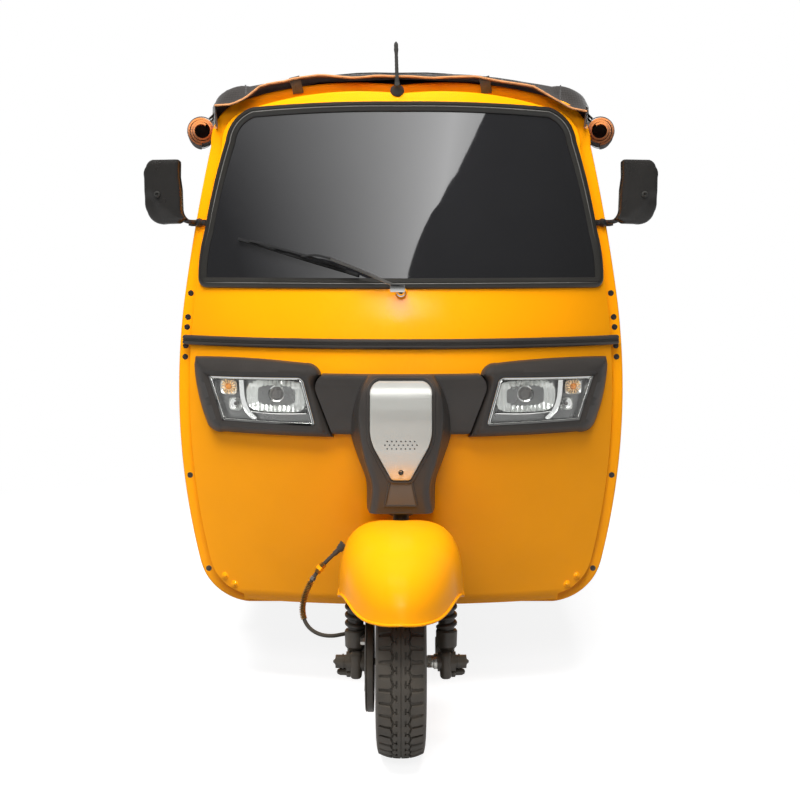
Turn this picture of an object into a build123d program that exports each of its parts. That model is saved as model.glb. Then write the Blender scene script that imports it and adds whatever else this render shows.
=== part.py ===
"""Passenger auto rickshaw: three wheels, open sides, a folding-type canvas hood on a tube frame.

Frame: +Z up, the front faces -Y, X across. The origin is on the ground, midway between the front and rear ends.
All lengths are millimetres. "Behind" lengths are measured rearwards from the front axle.
"left" is the driver's left, which is +X, and "right" is -X.
"""

import math
import os

from build123d import *

# ---------------------------------------------------------------- driving dimensions
OVERALL_LENGTH = 2640
WHEELBASE = 1985
MUDGUARD_REACH = 250  # front axle to the front lip of the mudguard
TYRE_R = 209  # 4.00-8 tyre
TYRE_HALF_W = 55
BEAD_R = 105
REAR_WHEEL_X = 575  # centre line of each rear tyre
FLOOR_TOP = 330
FLOOR_T = 25
GAP = 0.3  # seat clearance between pieces that touch
FRONT_AXLE_Y = MUDGUARD_REACH - OVERALL_LENGTH / 2
REAR_AXLE_Y = FRONT_AXLE_Y + WHEELBASE
REAR_END_Y = OVERALL_LENGTH / 2

# steering
RAKE = 26.0  # degrees from vertical, leaning back at the top
AXIS_BEHIND = 30  # steering axis behind the axle, at axle height
STEM_R = 19
HEAD_TUBE_R = 30
HEAD_LOW, HEAD_HIGH = 540, 780
RUN_FIT = 0.08  # radial clearance of a shaft in its bearing

# cowl
SKIN_HALF_CHORD = 600
COWL_T = 14
COWL_BOTTOM_Z = 243  # its lower edge hangs in front of the hoop's bottom run
COWL_BOTTOM_HALF = 400
HOOP_FRONT = 430  # behind the front axle
HOOP_DEPTH = 50
HOOP_W = 30
# height, nose behind the front axle, edge behind the front axle at SKIN_HALF_CHORD
SKIN_SECTIONS = [
    (200, 352, 470),
    (420, 285, 470),
    (640, 232, 475),
    (860, 212, 480),
    (1040, 228, 484),
    (1300, 296, 490),
    (1560, 384, 497),
]

# cabin stations, behind the front axle
DRIVER_SEAT_Y = 770
PARTITION_Y = 1130
REAR_BODY_Y = 1570
SEAT_BULKHEAD_Y = 1640

# rear body
WAIST_Z = 930
BODY_BOTTOM_Z = 300
PANEL_T = 18
DECK_Z = 620
BACKREST_RAIL_Y = 2160
BACKREST_RAIL_Z = 1100
BACKREST_Z = 975
BACKREST_T = 90
BACKREST_LEAN = 9
BUMPER_R = 20
# height, half width, rear face ahead of the overall rear end
REAR_SECTIONS = [
    (BODY_BOTTOM_Z, 636, 46),
    (620, 662, 26),
    (WAIST_Z, 650, 60),
]
REAR_CORNER_R = 150
PLATE_Z = 610
PLATE_HALF = 150
PLATE_HOLE_X = 100
PLATE_HOLE_R = 3.5

# roof: behind the front axle, half width, shoulder height, crown height
CANOPY_T = 6
CANOPY_SKIRT = 60
ROOF_SECTIONS = [
    (392, 455, 1488, 1564),
    (900, 528, 1542, 1632),
    (1400, 606, 1600, 1704),
    (1900, 634, 1622, 1714),
    (2230, 632, 1600, 1686),
]
CORNER_RUN = 90
CORNER_RISE = 48
TUBE_R = 13
STAY_R = 11
CURTAIN_R = 35
CURTAIN_HOLE_R = 16
LAST_BOW_AHEAD = 120
REAR_LEG_X = 592

# front outlines seen from ahead: half width and height
HOOP_OUTLINE = [
    (0, 230),
    (392, 230),
    ((460, 256), (500, 300)),
    ((509, 320), (515, 340)),
    ((559, 640), (545, 1004)),
    ((515, 1182), (472, 1385)),
    ((447, 1458), (380, 1494)),
    ((205, 1524), (0, 1534)),
]
SCREEN_OUTLINE = [
    (0, 1034),
    (478, 1036),
    ((496, 1043), (503, 1062)),
    ((497, 1130), (486, 1176)),
    ((461, 1293), (432, 1396)),
    ((411, 1446), (364, 1477)),
    ((190, 1484), (0, 1485)),
]
SEAL_W = 26
SEAL_PROUD = 9
GLASS_T = 5
STRIP_Z = 906
STRIP_H = 24
STRIP_PROUD = 11

# lamps: outlines of the right hand one (at -X), seen from ahead
BEZEL_OUTLINE = [
    (-512, 866),
    (-516, 846),
    ((-506, 775), (-484, 707)),
    ((-470, 688), (-435, 683)),
    (-160, 683),
    (-202, 795),
    ((-201, 815), (-188, 832)),
    ((-200, 852), (-228, 860)),
    ((-360, 868), (-512, 866)),
]
LENS_OUTLINE = [
    (-473, 822),
    (-437, 714),
    (-214, 712),
    ((-207, 713), (-205, 722)),
    (-228, 810),
    ((-234, 823), (-248, 827)),
    (-473, 822),
]
BEZEL_PROUD = 42
LENS_PROUD = 30
REFLECTOR_PROUD = 8
LENS_T = 3

# nose: height, half width at the cowl, half width at the face, face behind the front axle
NOSE_SECTIONS = [
    (518, 82, 62, 128),
    (580, 84, 56, 121),
    (640, 104, 72, 117),
    (700, 120, 84, 116),
    (770, 110, 86, 122),
    (812, 92, 76, 140),
    (836, 76, 62, 166),
]
NOSE_PANEL_OUTLINE = [
    (0, 598),
    (17, 598),
    (23, 601),
    (61, 673),
    ((69, 698), (71, 726)),
    (71, 800),
    ((67, 815), (54, 821)),
    (0, 821),
]
NOSE_PANEL_T = 5
ARM_PROUD = 24
ARM_BOTTOM_Z = 688
ARM_TOP_Z = 836

MIRROR_FRONT = 376

# front suspension
FORK_X = 102
DAMPER_TOP_Z = 432
PIVOT_BEHIND = 120
AXLE_R = 8
HALF_SHAFT_R = 15
AXLE_HALF = 146

# brake hose, from its gland on the mudguard's flank to the brake plate: across, behind the front axle, height
HOSE_R = 4.5
HOSE_ROUTE = [
    (-141, 72, 447),
    (-160, 70, 430),
    (-182, 66, 408),
    (-204, 61, 378),
    (-220, 56, 343),
    (-225, 50, 307),
    (-213, 44, 276),
    (-187, 42, 258),
    (-157, 48, 252),
    (-128, 58, 255),
    (-101, 65, 258),
    (-74.3, 66, 259),
]
GLAND_R = 8
GLAND_LENGTH = 14

LEFT_RIGHT = [("left", 1), ("right", -1)]


# ---------------------------------------------------------------- helpers
def behind(distance):
    """Y of a place that far behind the front axle."""
    return FRONT_AXLE_Y + distance


def edges_of(points):
    """Edges through points; an entry of two points is an arc through the first to the second."""
    edges, here = [], points[0]
    for step in points[1:]:
        if isinstance(step[0], tuple):
            edges.append(ThreePointArc(here, step[0], step[1]))
            here = step[1]
        else:
            edges.append(Line(here, step))
            here = step
    return edges


def closed_face(points):
    return make_face(edges_of(points))


def mirrored_face(points):
    """A face symmetric about X = 0, from its half outline that starts and ends on X = 0."""
    half = edges_of(points)
    return make_face(half + [mirror(edge, about=Plane.YZ) for edge in half])


def from_ahead(face, first, last):
    """An outline seen from ahead, extruded between two distances behind the front axle."""
    start = Plane(origin=(0, behind(last), 0), x_dir=(1, 0, 0), z_dir=(0, -1, 0))
    return start * extrude(face, last - first)


def from_side(face, half_width):
    """An outline in Y and Z, extruded to both sides of X = 0."""
    start = Plane(origin=(-half_width, 0, 0), x_dir=(0, 1, 0), z_dir=(1, 0, 0))
    return start * extrude(face, 2 * half_width)


def block(x0, x1, y0, y1, z0, z1):
    """A box between two corners, with Y given as it is in the part's frame."""
    return Pos((x0 + x1) / 2, (y0 + y1) / 2, (z0 + z1) / 2) * Box(x1 - x0, y1 - y0, z1 - z0)


def rod(start, end, radius):
    run = Vector(*end) - Vector(*start)
    low = (Align.CENTER, Align.CENTER, Align.MIN)
    return Plane(origin=start, z_dir=run) * Cylinder(radius, run.length, align=low)


def pipe(points, radius):
    """A round bar along straight runs, with a ball at each bend."""
    bar = rod(points[0], points[1], radius)
    for start, end in zip(points[1:], points[2:]):
        bar += Pos(*start) * Sphere(radius) + rod(start, end, radius)
    return bar


def tube(points, radius, bend):
    """A round bar along straight runs joined by tangent arcs."""
    path = FilletPolyline(*points, radius=bend)
    return sweep(Plane(origin=path @ 0, z_dir=path % 0) * Circle(radius), path=path)


def both_sides(shape):
    return shape + mirror(shape, about=Plane.YZ)


def wheel_solid(points):
    """A half profile of X and radius, mirrored and turned about X."""
    return revolve(Plane.XZ * closed_face(points), Axis.X, 360)


def skin_arc(nose, edge, offset):
    """The cowl's arc in plan, at one height, moved back by offset."""
    half = SKIN_HALF_CHORD
    return ThreePointArc(
        (-half, behind(edge + offset)), (0, behind(nose + offset)), (half, behind(edge + offset))
    )


def skin_band(proud, deep):
    """The layer from proud ahead of the cowl's skin to deep behind it, over the whole front."""
    half, faces = SKIN_HALF_CHORD, []
    for height, nose, edge in SKIN_SECTIONS:
        outer = skin_arc(nose, edge, -proud)
        inner = skin_arc(nose, edge, deep)
        sides = [
            Line((x, behind(edge - proud)), (x, behind(edge + deep))) for x in (-half, half)
        ]
        faces.append(Pos(0, 0, height) * make_face([outer, inner, *sides]))
    return loft(faces)


def skin_y(x, z):
    """Where the cowl's skin is behind the front axle, between the tabled heights."""
    heights = [row[0] for row in SKIN_SECTIONS]
    low = max(i for i, h in enumerate(heights[:-1]) if h <= max(z, heights[0]))
    share = (z - heights[low]) / (heights[low + 1] - heights[low])
    nose, edge = (
        SKIN_SECTIONS[low][k] * (1 - share) + SKIN_SECTIONS[low + 1][k] * share for k in (1, 2)
    )
    bulge = edge - nose
    radius = (SKIN_HALF_CHORD**2 + bulge**2) / (2 * bulge)
    return nose + radius - math.sqrt(radius**2 - x**2)


def on_skin(x, z, proud):
    """A point proud ahead of the cowl's skin, in the part's frame."""
    return (x, behind(skin_y(x, z) - proud), z)


def axis_point(height):
    """A point on the steering axis at a height."""
    run = (height - TYRE_R) * math.tan(math.radians(RAKE))
    return (0, behind(AXIS_BEHIND + run), height)


PARTS = {}


def keep(name, shape):
    PARTS[name] = shape


# ---------------------------------------------------------------- floor and frame
def floor_pan():
    """Pressed floor with turned-down sills, from inside the cowl to the seat bulkhead."""
    front, rear, half = 420, SEAT_BULKHEAD_Y, 545
    corner_half, corner_y = 495, 820
    plan = [
        (-half, behind(rear)),
        (-half, behind(corner_y)),
        (-corner_half, behind(front + 62)),
        (corner_half, behind(front + 62)),
        (half, behind(corner_y)),
        (half, behind(rear)),
        (-half, behind(rear)),
    ]
    pan = Pos(0, 0, FLOOR_TOP - FLOOR_T) * extrude(closed_face(plan), FLOOR_T)
    toe = block(-440, 440, behind(front), behind(front + 62), FLOOR_TOP - FLOOR_T, FLOOR_TOP)
    sill = block(half - 18, half, behind(corner_y), behind(REAR_BODY_Y), 250, FLOOR_TOP - FLOOR_T)
    keep("floor_pan", pan + toe + both_sides(sill))


def chassis_frame():
    """Two rails with cross members, and the spine that carries the steering head."""
    top = FLOOR_TOP - FLOOR_T
    front = HOOP_FRONT + HOOP_DEPTH + GAP
    rail = block(210, 260, behind(front), behind(1700), top - 70, top)
    frame = both_sides(rail)
    for station in (front, 1000, SEAT_BULKHEAD_Y):
        frame += block(-210, 210, behind(station), behind(station + 50), top - 60, top)
    keep("chassis_frame", frame)


def steering_head():
    """The bearing tube of the steering and its spine down to the frame."""
    tube = rod(axis_point(HEAD_LOW), axis_point(HEAD_HIGH), HEAD_TUBE_R)
    mid = axis_point(700)
    spine = pipe(
        [mid, (0, behind(360), 640), (0, behind(445), 480), (0, behind(495), FLOOR_TOP + 22)], 22
    )
    foot = block(-60, 60, behind(455), behind(535), FLOOR_TOP, FLOOR_TOP + 10)
    head = tube + spine + foot
    head -= rod(axis_point(500), axis_point(820), STEM_R + RUN_FIT)
    keep("steering_head", head)


# ---------------------------------------------------------------- front panels
def front_panels():
    """Hoop, cowl, windscreen with its seal, and the rub strip."""
    whole = from_ahead(mirrored_face(HOOP_OUTLINE), 0, 800)
    inner = from_ahead(offset(mirrored_face(HOOP_OUTLINE), -HOOP_W), 0, 800)
    hoop_slab = block(-800, 800, behind(HOOP_FRONT), behind(HOOP_FRONT + HOOP_DEPTH), 0, 2000)
    keep("front_hoop", (whole - inner) & hoop_slab)

    screen = mirrored_face(SCREEN_OUTLINE)
    seal_outer = from_ahead(screen, 0, 800)
    seal_inner = from_ahead(offset(screen, -SEAL_W), 0, 800)
    cowl_edge = from_ahead(offset(mirrored_face(HOOP_OUTLINE), -HOOP_W - GAP), 0, 800)
    cowl_edge += block(
        -COWL_BOTTOM_HALF, COWL_BOTTOM_HALF, behind(0), behind(800), COWL_BOTTOM_Z, COWL_BOTTOM_Z + 60
    )
    cowl = skin_band(0, COWL_T) & cowl_edge
    cowl -= from_ahead(offset(screen, GAP), 0, 800)
    cowl -= rod(axis_point(500), axis_point(860), HEAD_TUBE_R + 1)
    cowl -= rod(axis_point(400), axis_point(640), 62)
    keep("front_cowl", cowl)

    seal = (skin_band(SEAL_PROUD, COWL_T + 4) & seal_outer) - seal_inner
    pane_edge = from_ahead(offset(screen, -SEAL_W + 12), 0, 800)
    pane_room = from_ahead(offset(screen, -SEAL_W + 12 + GAP), 0, 800)
    seal -= skin_band(GAP, GLASS_T + GAP) & pane_room
    keep("windscreen_seal", seal)
    keep("windscreen", skin_band(0, GLASS_T) & pane_edge)

    strip = block(-800, 800, behind(0), behind(800), STRIP_Z - STRIP_H / 2, STRIP_Z + STRIP_H / 2)
    strip &= from_ahead(offset(mirrored_face(HOOP_OUTLINE), -HOOP_W + 12), 0, 800)
    keep("rub_strip", (skin_band(STRIP_PROUD, -GAP) & strip) - hoop_slab)


def lamps():
    """Housing with a closed back, and lens, on each side."""
    bezel_cut = from_ahead(closed_face(BEZEL_OUTLINE), 0, 800)
    lens_cut = from_ahead(closed_face(LENS_OUTLINE), 0, 800)
    lens_room = from_ahead(offset(closed_face(LENS_OUTLINE), GAP), 0, 800)
    bezel = (skin_band(BEZEL_PROUD, -GAP) & bezel_cut) - lens_room
    lens = skin_band(LENS_PROUD, -LENS_PROUD + LENS_T) & lens_cut
    reflector = skin_band(REFLECTOR_PROUD, -GAP) & bezel_cut
    keep("headlamp_housings", both_sides(bezel + reflector))
    keep("headlamp_lenses", both_sides(lens))


def nose_solid(proud):
    """The nose from inside the cowl to its face, grown ahead by proud."""
    faces = []
    for height, at_cowl, at_face, face_y in NOSE_SECTIONS:
        back = skin_y(0, height) + COWL_T
        points = [
            (-at_cowl, behind(back)),
            (-at_face - 14, behind(face_y + 26 - proud)),
            (-at_face, behind(face_y - proud)),
            (at_face, behind(face_y - proud)),
            (at_face + 14, behind(face_y + 26 - proud)),
            (at_cowl, behind(back)),
        ]
        faces.append(Pos(0, 0, height) * make_face(Polyline(*points, close=True)))
    return loft(faces, ruled=True)


def nose():
    """The dark nose with its arms to the lamps, and the bright panel on its face."""
    ahead_of_skin = skin_band(300, -GAP)
    body = nose_solid(0) & ahead_of_skin
    arms = skin_band(ARM_PROUD, -GAP) & block(
        -240, 240, behind(0), behind(600), ARM_BOTTOM_Z, ARM_TOP_Z
    )
    bezel_room = from_ahead(offset(closed_face(BEZEL_OUTLINE), GAP), 0, 800)
    for side in (1, -1):
        cut = bezel_room if side == -1 else mirror(bezel_room, about=Plane.YZ)
        arms -= cut
        arms -= block(*sorted((side * 190, side * 260)), behind(0), behind(600), 600, 720)
    garnish = body + arms
    garnish -= rod(axis_point(480), axis_point(860), HEAD_TUBE_R + 2)
    plate_cut = from_ahead(mirrored_face(NOSE_PANEL_OUTLINE), -100, 400)
    keep("nose_garnish", garnish)
    panel = (nose_solid(NOSE_PANEL_T + GAP) - nose_solid(GAP)) & plate_cut
    keep("nose_panel", panel)


def front_fittings():
    """Wiper, mirrors and aerial."""
    pivot_z = 1024
    boss = rod(on_skin(0, pivot_z, -5), on_skin(0, pivot_z, 32), 10) - skin_band(GAP, 60)
    arm = pipe([on_skin(0, pivot_z, 26), on_skin(-150, 1074, 28), on_skin(-300, 1122, 26)], 5)
    blade = pipe([on_skin(-95, 1064, 20), on_skin(-240, 1102, 18), on_skin(-375, 1138, 16)], 5)
    keep("wiper", boss + arm + blade)

    pod = block(-636, -546, behind(MIRROR_FRONT), behind(MIRROR_FRONT + 48), 1196, 1356)
    pod = fillet(pod.edges().filter_by(Axis.Y), 26)
    pod = fillet(pod.edges().group_by(Axis.Y)[0], 16)
    glass_face = pod.faces().sort_by(Axis.Y)[-1]
    glass = Pos(0, GAP, 0) * extrude(offset(glass_face, -6), 3)
    root = HOOP_FRONT - GAP
    stalk = pipe(
        [
            (-492, behind(root), 1200),
            (-492, behind(root - 16), 1200),
            (-524, behind(402), 1202),
            (-566, behind(400), 1216),
        ],
        6,
    )
    keep("mirrors", both_sides(pod + stalk))
    keep("mirror_glasses", both_sides(glass))

    foot_z = 1512
    foot_y = behind(skin_y(0, foot_z))
    base = Pos(-9, foot_y - 8, foot_z) * Sphere(14)
    mast = rod((-9, foot_y - 8, foot_z), (-12, foot_y + 6, foot_z + 116), 5)
    aerial = (base + mast) - skin_band(GAP, 60)
    keep("aerial", aerial)


# ---------------------------------------------------------------- dash and controls
def cabin_fittings():
    """Dashboard with two bins, instrument pod and brake pedal."""
    panel = skin_band(-COWL_T - GAP, 62) & block(-455, 455, behind(150), behind(600), 876, 1024)
    panel -= rod(axis_point(800), axis_point(1100), 30)
    bins = both_sides(block(170, 430, behind(280), behind(390), 800, 900)) & skin_band(-COWL_T - GAP, 200)
    pod = block(-95, 95, behind(264), behind(306), 1010, 1074)
    pod = fillet(pod.edges().filter_by(Axis.Y), 14)
    keep("dashboard", panel + bins + (pod & skin_band(-COWL_T - 8, 200)))
    pad = Pos(-130, behind(560), FLOOR_TOP + 62) * Rot(30, 0, 0) * Box(70, 10, 60)
    arm = rod((-130, behind(590), FLOOR_TOP + 8), (-130, behind(562), FLOOR_TOP + 58), 7)
    foot = block(-150, -110, behind(575), behind(605), FLOOR_TOP + GAP, FLOOR_TOP + 14)
    keep("brake_pedal", pad + arm + foot)


# ---------------------------------------------------------------- seats
def seats():
    """Driver's and passengers' seats on their boxes."""
    d0, d1 = behind(DRIVER_SEAT_Y), behind(PARTITION_Y - 30)
    keep("driver_seat_box", block(-400, 400, d0 + 20, d1, FLOOR_TOP, 600 - GAP))
    cushion = block(-360, 360, d0, d1 - 10, 600, 690)
    cushion = fillet(cushion.edges(), 26)
    back = Pos(0, behind(PARTITION_Y - 51), 905) * Rot(-6, 0, 0) * Box(640, 55, 250)
    keep("driver_seat", cushion + fillet(back.edges(), 20))

    p0 = behind(SEAT_BULKHEAD_Y)
    wall = block(-560, 560, p0, p0 + PANEL_T, FLOOR_TOP - FLOOR_T, DECK_Z)
    plan = rear_outline(618, REAR_END_Y - 64, 130, p0)
    deck = Pos(0, 0, DECK_Z - PANEL_T) * extrude(closed_face(plan), PANEL_T)
    keep("seat_bulkhead", wall + deck)
    cushion = block(-560, 560, p0 - 30, p0 + 390, DECK_Z + GAP, DECK_Z + 120)
    cushion = fillet(cushion.edges(), 32)
    lean = math.radians(BACKREST_LEAN)
    off = BACKREST_T / 2 + STAY_R + GAP + (BACKREST_RAIL_Z - BACKREST_Z) * math.sin(lean)
    back_y = behind(BACKREST_RAIL_Y) - off / math.cos(lean)
    back = Pos(0, back_y, BACKREST_Z) * Rot(-BACKREST_LEAN, 0, 0) * Box(1120, BACKREST_T, 470)
    keep("passenger_seat", cushion + fillet(back.edges(), 32))


# ---------------------------------------------------------------- rear body
def rear_outline(half, rear, corner, front):
    """U-shaped closed outline in plan, open end at front."""
    diagonal = corner * (1 - math.sqrt(0.5))
    return [
        (-half, front),
        (-half, rear - corner),
        ((-half + diagonal, rear - diagonal), (-half + corner, rear)),
        (half - corner, rear),
        ((half - diagonal, rear - diagonal), (half, rear - corner)),
        (half, front),
        (-half, front),
    ]


def rear_volume(inset, front):
    faces = []
    for height, half, ahead in REAR_SECTIONS:
        points = rear_outline(half - inset, REAR_END_Y - ahead - inset, REAR_CORNER_R - inset, front)
        faces.append(Pos(0, 0, height) * closed_face(points))
    return loft(faces, ruled=True)


HATCH_HALF = 400
HATCH_BOTTOM = 392
HATCH_TOP = 800
HATCH_GAP = 6
HINGE_PIN_R = 3
HINGE_Y = REAR_END_Y - 39.5


def rear_body():
    """Quarter panels and rear panel in one shell, with the wheel arches and the hatchway cut."""
    front = behind(REAR_BODY_Y)
    shell = rear_volume(0, front) - rear_volume(PANEL_T, front - 10)
    arch = Pos(0, REAR_AXLE_Y, TYRE_R + 10) * Rot(0, 90, 0) * Cylinder(262, 2000)
    shell -= arch
    hatchway = block(-HATCH_HALF, HATCH_HALF, REAR_END_Y - 200, REAR_END_Y + 50, HATCH_BOTTOM, HATCH_TOP)
    body = shell - hatchway
    gap = HATCH_GAP
    leaf = shell & block(
        -HATCH_HALF + gap,
        HATCH_HALF - gap,
        REAR_END_Y - 200,
        REAR_END_Y + 50,
        HATCH_BOTTOM + gap,
        HATCH_TOP - gap,
    )
    knuckles = both_sides(hinge_knuckle(250, 290, HATCH_TOP, HATCH_TOP + 14))
    for side in (-1, 1):
        knuckles -= rod((side * 240, HINGE_Y, HATCH_TOP), (side * 300, HINGE_Y, HATCH_TOP), HINGE_PIN_R + RUN_FIT)
        leaf += rod((side * 232, HINGE_Y, HATCH_TOP), (side * 292, HINGE_Y, HATCH_TOP), HINGE_PIN_R)
    leaf += both_sides(hinge_knuckle(230, 247, HATCH_TOP - 16, HATCH_TOP))
    keep("rear_body", body + knuckles)
    keep("engine_hatch", leaf)


def hinge_knuckle(x0, x1, z0, z1):
    """A barrel round the hatch's hinge axis, with a tongue to the panel between two heights."""
    barrel = rod((x0, HINGE_Y, HATCH_TOP), (x1, HINGE_Y, HATCH_TOP), HINGE_PIN_R + 2)
    return barrel + block(x0, x1, HINGE_Y - 9, HINGE_Y, z0, z1)


def rear_fittings():
    """Bumper, lamps, plate and mud flaps."""
    bar_y = REAR_END_Y - BUMPER_R
    bar = rod((-520, bar_y, 350), (520, bar_y, 350), BUMPER_R)
    for x in (-300, 300):
        bar += block(x - 15, x + 15, REAR_END_Y - 70, bar_y, 335, 365)
    keep("rear_bumper", bar - rear_volume(-GAP, behind(REAR_BODY_Y)))
    face = REAR_END_Y - REAR_SECTIONS[1][2] + GAP
    plate = block(-PLATE_HALF, PLATE_HALF, face, face + 3, PLATE_Z - 50, PLATE_Z + 50)
    for x in (-PLATE_HOLE_X, PLATE_HOLE_X):
        plate -= rod((x, face - 5, PLATE_Z), (x, face + 8, PLATE_Z), PLATE_HOLE_R)
    keep("number_plate", plate)
    lamp = block(470, 590, REAR_END_Y - 60, REAR_END_Y - 14, 790, 880)
    lamp -= rear_volume(-GAP, behind(REAR_BODY_Y))
    keep("tail_lamps", both_sides(lamp))


# ---------------------------------------------------------------- roof
def roof_face(half, shoulder, crown, inset, low):
    """Arch section seen from ahead, inset from the canvas."""
    w, s, c = half - inset, shoulder - inset, crown - inset
    run, rise = CORNER_RUN, CORNER_RISE
    return [
        (0, low),
        (w, low),
        (w, s),
        ((w - run * 0.3, s + rise * 0.72), (w - run, s + rise)),
        ((w * 0.45, s + rise + (c - s - rise) * 0.78), (0, c)),
    ]


def roof_volume(inset, drop, ahead, rear):
    """The space under the canvas; drop is how far it reaches below the shoulder."""
    faces = []
    for i, (station, half, shoulder, crown) in enumerate(ROOF_SECTIONS):
        y = behind(station)
        if i == 0:
            y -= ahead
        if i == len(ROOF_SECTIONS) - 1:
            y -= rear
        face = mirrored_face(roof_face(half, shoulder, crown, inset, shoulder - drop))
        place = Plane(origin=(0, y, 0), x_dir=(1, 0, 0), z_dir=(0, -1, 0))
        faces.append(place * face)
    return loft(faces)


def hood_volume(inset, extra):
    """The space inside the canvas behind the doors, from the waist to the shoulders."""
    faces = []
    rear_top = behind(ROOF_SECTIONS[-1][0])
    rows = [
        (WAIST_Z - 10 + GAP - extra, 660, REAR_END_Y - 50, REAR_CORNER_R),
        (ROOF_SECTIONS[-1][2] - 20, 628, rear_top, 110),
    ]
    for height, half, rear, corner in rows:
        points = rear_outline(half - inset, rear - inset, corner, behind(REAR_BODY_Y) - extra)
        faces.append(Pos(0, 0, height) * closed_face(points))
    return loft(faces, ruled=True)


def canopy():
    """Canvas hood: roof sheet with its skirt, and the sides and back behind the doors."""
    roof = roof_volume(0, CANOPY_SKIRT, 0, 0) - roof_volume(CANOPY_T, CANOPY_SKIRT + 40, 60, CANOPY_T)
    wall = hood_volume(0, 0) - hood_volume(CANOPY_T, 40)
    wall -= rear_volume(-GAP, behind(REAR_BODY_Y) - 60)
    cut = roof_volume(0, CANOPY_SKIRT, 0, 0)
    hoop_room = from_ahead(
        offset(mirrored_face(HOOP_OUTLINE), 2 * GAP), HOOP_FRONT - GAP, HOOP_FRONT + HOOP_DEPTH + GAP
    )
    keep("canopy", (roof - hoop_room) + (wall - cut))


def roof_frame():
    """Tube frame: side rails, bows, partition legs and rear legs."""
    inset = CANOPY_T + TUBE_R + 2

    def bow(station, half, shoulder, crown):
        y = behind(station)
        w, s, c = half - inset, shoulder - inset, crown - inset
        side = [
            (w - 6, y, s - 20),
            (w - CORNER_RUN, y, s + CORNER_RISE - 12),
            (w * 0.45, y, s + CORNER_RISE + (c - s - CORNER_RISE) * 0.7),
        ]
        right = [(-x, yy, z) for x, yy, z in side]
        return tube([*side, (0, y, c - 4), *reversed(right)], STAY_R, 40)

    hoop_back = HOOP_FRONT + HOOP_DEPTH + GAP
    frame = both_sides(block(412, 448, behind(hoop_back), behind(hoop_back + 8), 1420, 1456))
    rail = [(430, behind(hoop_back + 7), 1438)]
    for row in ROOF_SECTIONS[1:]:
        station = row[0] if row is not ROOF_SECTIONS[-1] else row[0] - LAST_BOW_AHEAD
        frame += bow(station, *row[1:])
        rail.append((row[1] - inset - 6, behind(station), row[2] - inset - 20))
    frame += both_sides(tube(rail, TUBE_R, 80))
    inside = 650 - PANEL_T - TUBE_R - 6
    bottom = WAIST_Z - 30
    leg = tube(
        [rail[2], (606, behind(REAR_BODY_Y + 14), 1300), (inside, behind(REAR_BODY_Y + 40), bottom)],
        STAY_R,
        80,
    )
    foot = (REAR_LEG_X, behind(BACKREST_RAIL_Y), bottom)
    knee = (REAR_LEG_X, behind(BACKREST_RAIL_Y), 1200)
    rear_leg = tube([rail[-1], knee, foot], STAY_R + 1, 80)
    frame += both_sides(leg) + both_sides(rear_leg)
    rest = (REAR_LEG_X, behind(BACKREST_RAIL_Y), BACKREST_RAIL_Z)
    frame += rod((-rest[0], rest[1], rest[2]), rest, STAY_R)
    for x, y in ((inside, REAR_BODY_Y + 40), (REAR_LEG_X, BACKREST_RAIL_Y)):
        lug = block(x - 16, 660, behind(y - 16), behind(y + 16), WAIST_Z - 44, WAIST_Z - 28)
        frame += both_sides(lug & rear_volume(PANEL_T + GAP, behind(REAR_BODY_Y)))
    keep("roof_frame", frame)


def partition_rail():
    """Hoop behind the driver, with its grab rails."""
    y = behind(PARTITION_Y)
    x, top = 520, 1000
    hoop = pipe([(-x, y, FLOOR_TOP + GAP), (-x, y, top), (x, y, top), (x, y, FLOOR_TOP + GAP)], TUBE_R)
    hoop += rod((-x, y, 760), (x, y, 760), TUBE_R)
    keep("partition_rail", hoop)


def side_curtains():
    """The side curtains, rolled up and tied under the roof's edges."""
    start, end = (508, behind(452), 1428), (645, behind(1400), 1508)
    roll = rod(start, end, CURTAIN_R) - rod(start, end, CURTAIN_HOLE_R)
    keep("side_curtains", both_sides(roll))
    run = Vector(*end) - Vector(*start)
    straps = None
    for share in (0.04, 0.5, 0.94):
        first = Vector(*start) + run * share
        last = first + run.normalized() * 24
        ring = rod(tuple(first), tuple(last), CURTAIN_R + 3) - rod(tuple(first), tuple(last), CURTAIN_R + GAP)
        tab = block(first.X - 62, first.X - 8, first.Y, first.Y + 24, first.Z + 22, first.Z + 52)
        tab -= rod(start, end, CURTAIN_R + GAP)
        straps = ring + tab if straps is None else straps + ring + tab
    straps -= roof_volume(-GAP, CANOPY_SKIRT + GAP, 5, 0)
    keep("curtain_straps", both_sides(straps))


# ---------------------------------------------------------------- running gear
def tyre_at(x, y):
    h = TYRE_HALF_W
    profile = [
        (-h + 12, TYRE_R - 8),
        ((0, TYRE_R), (h - 12, TYRE_R - 8)),
        ((h, TYRE_R - 48), (h - 14, BEAD_R + 8)),
        (h - 14, BEAD_R),
        (-h + 14, BEAD_R),
        (-h + 14, BEAD_R + 8),
        ((-h, TYRE_R - 48), (-h + 12, TYRE_R - 8)),
    ]
    return Pos(x, y, TYRE_R) * wheel_solid(profile)


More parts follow.
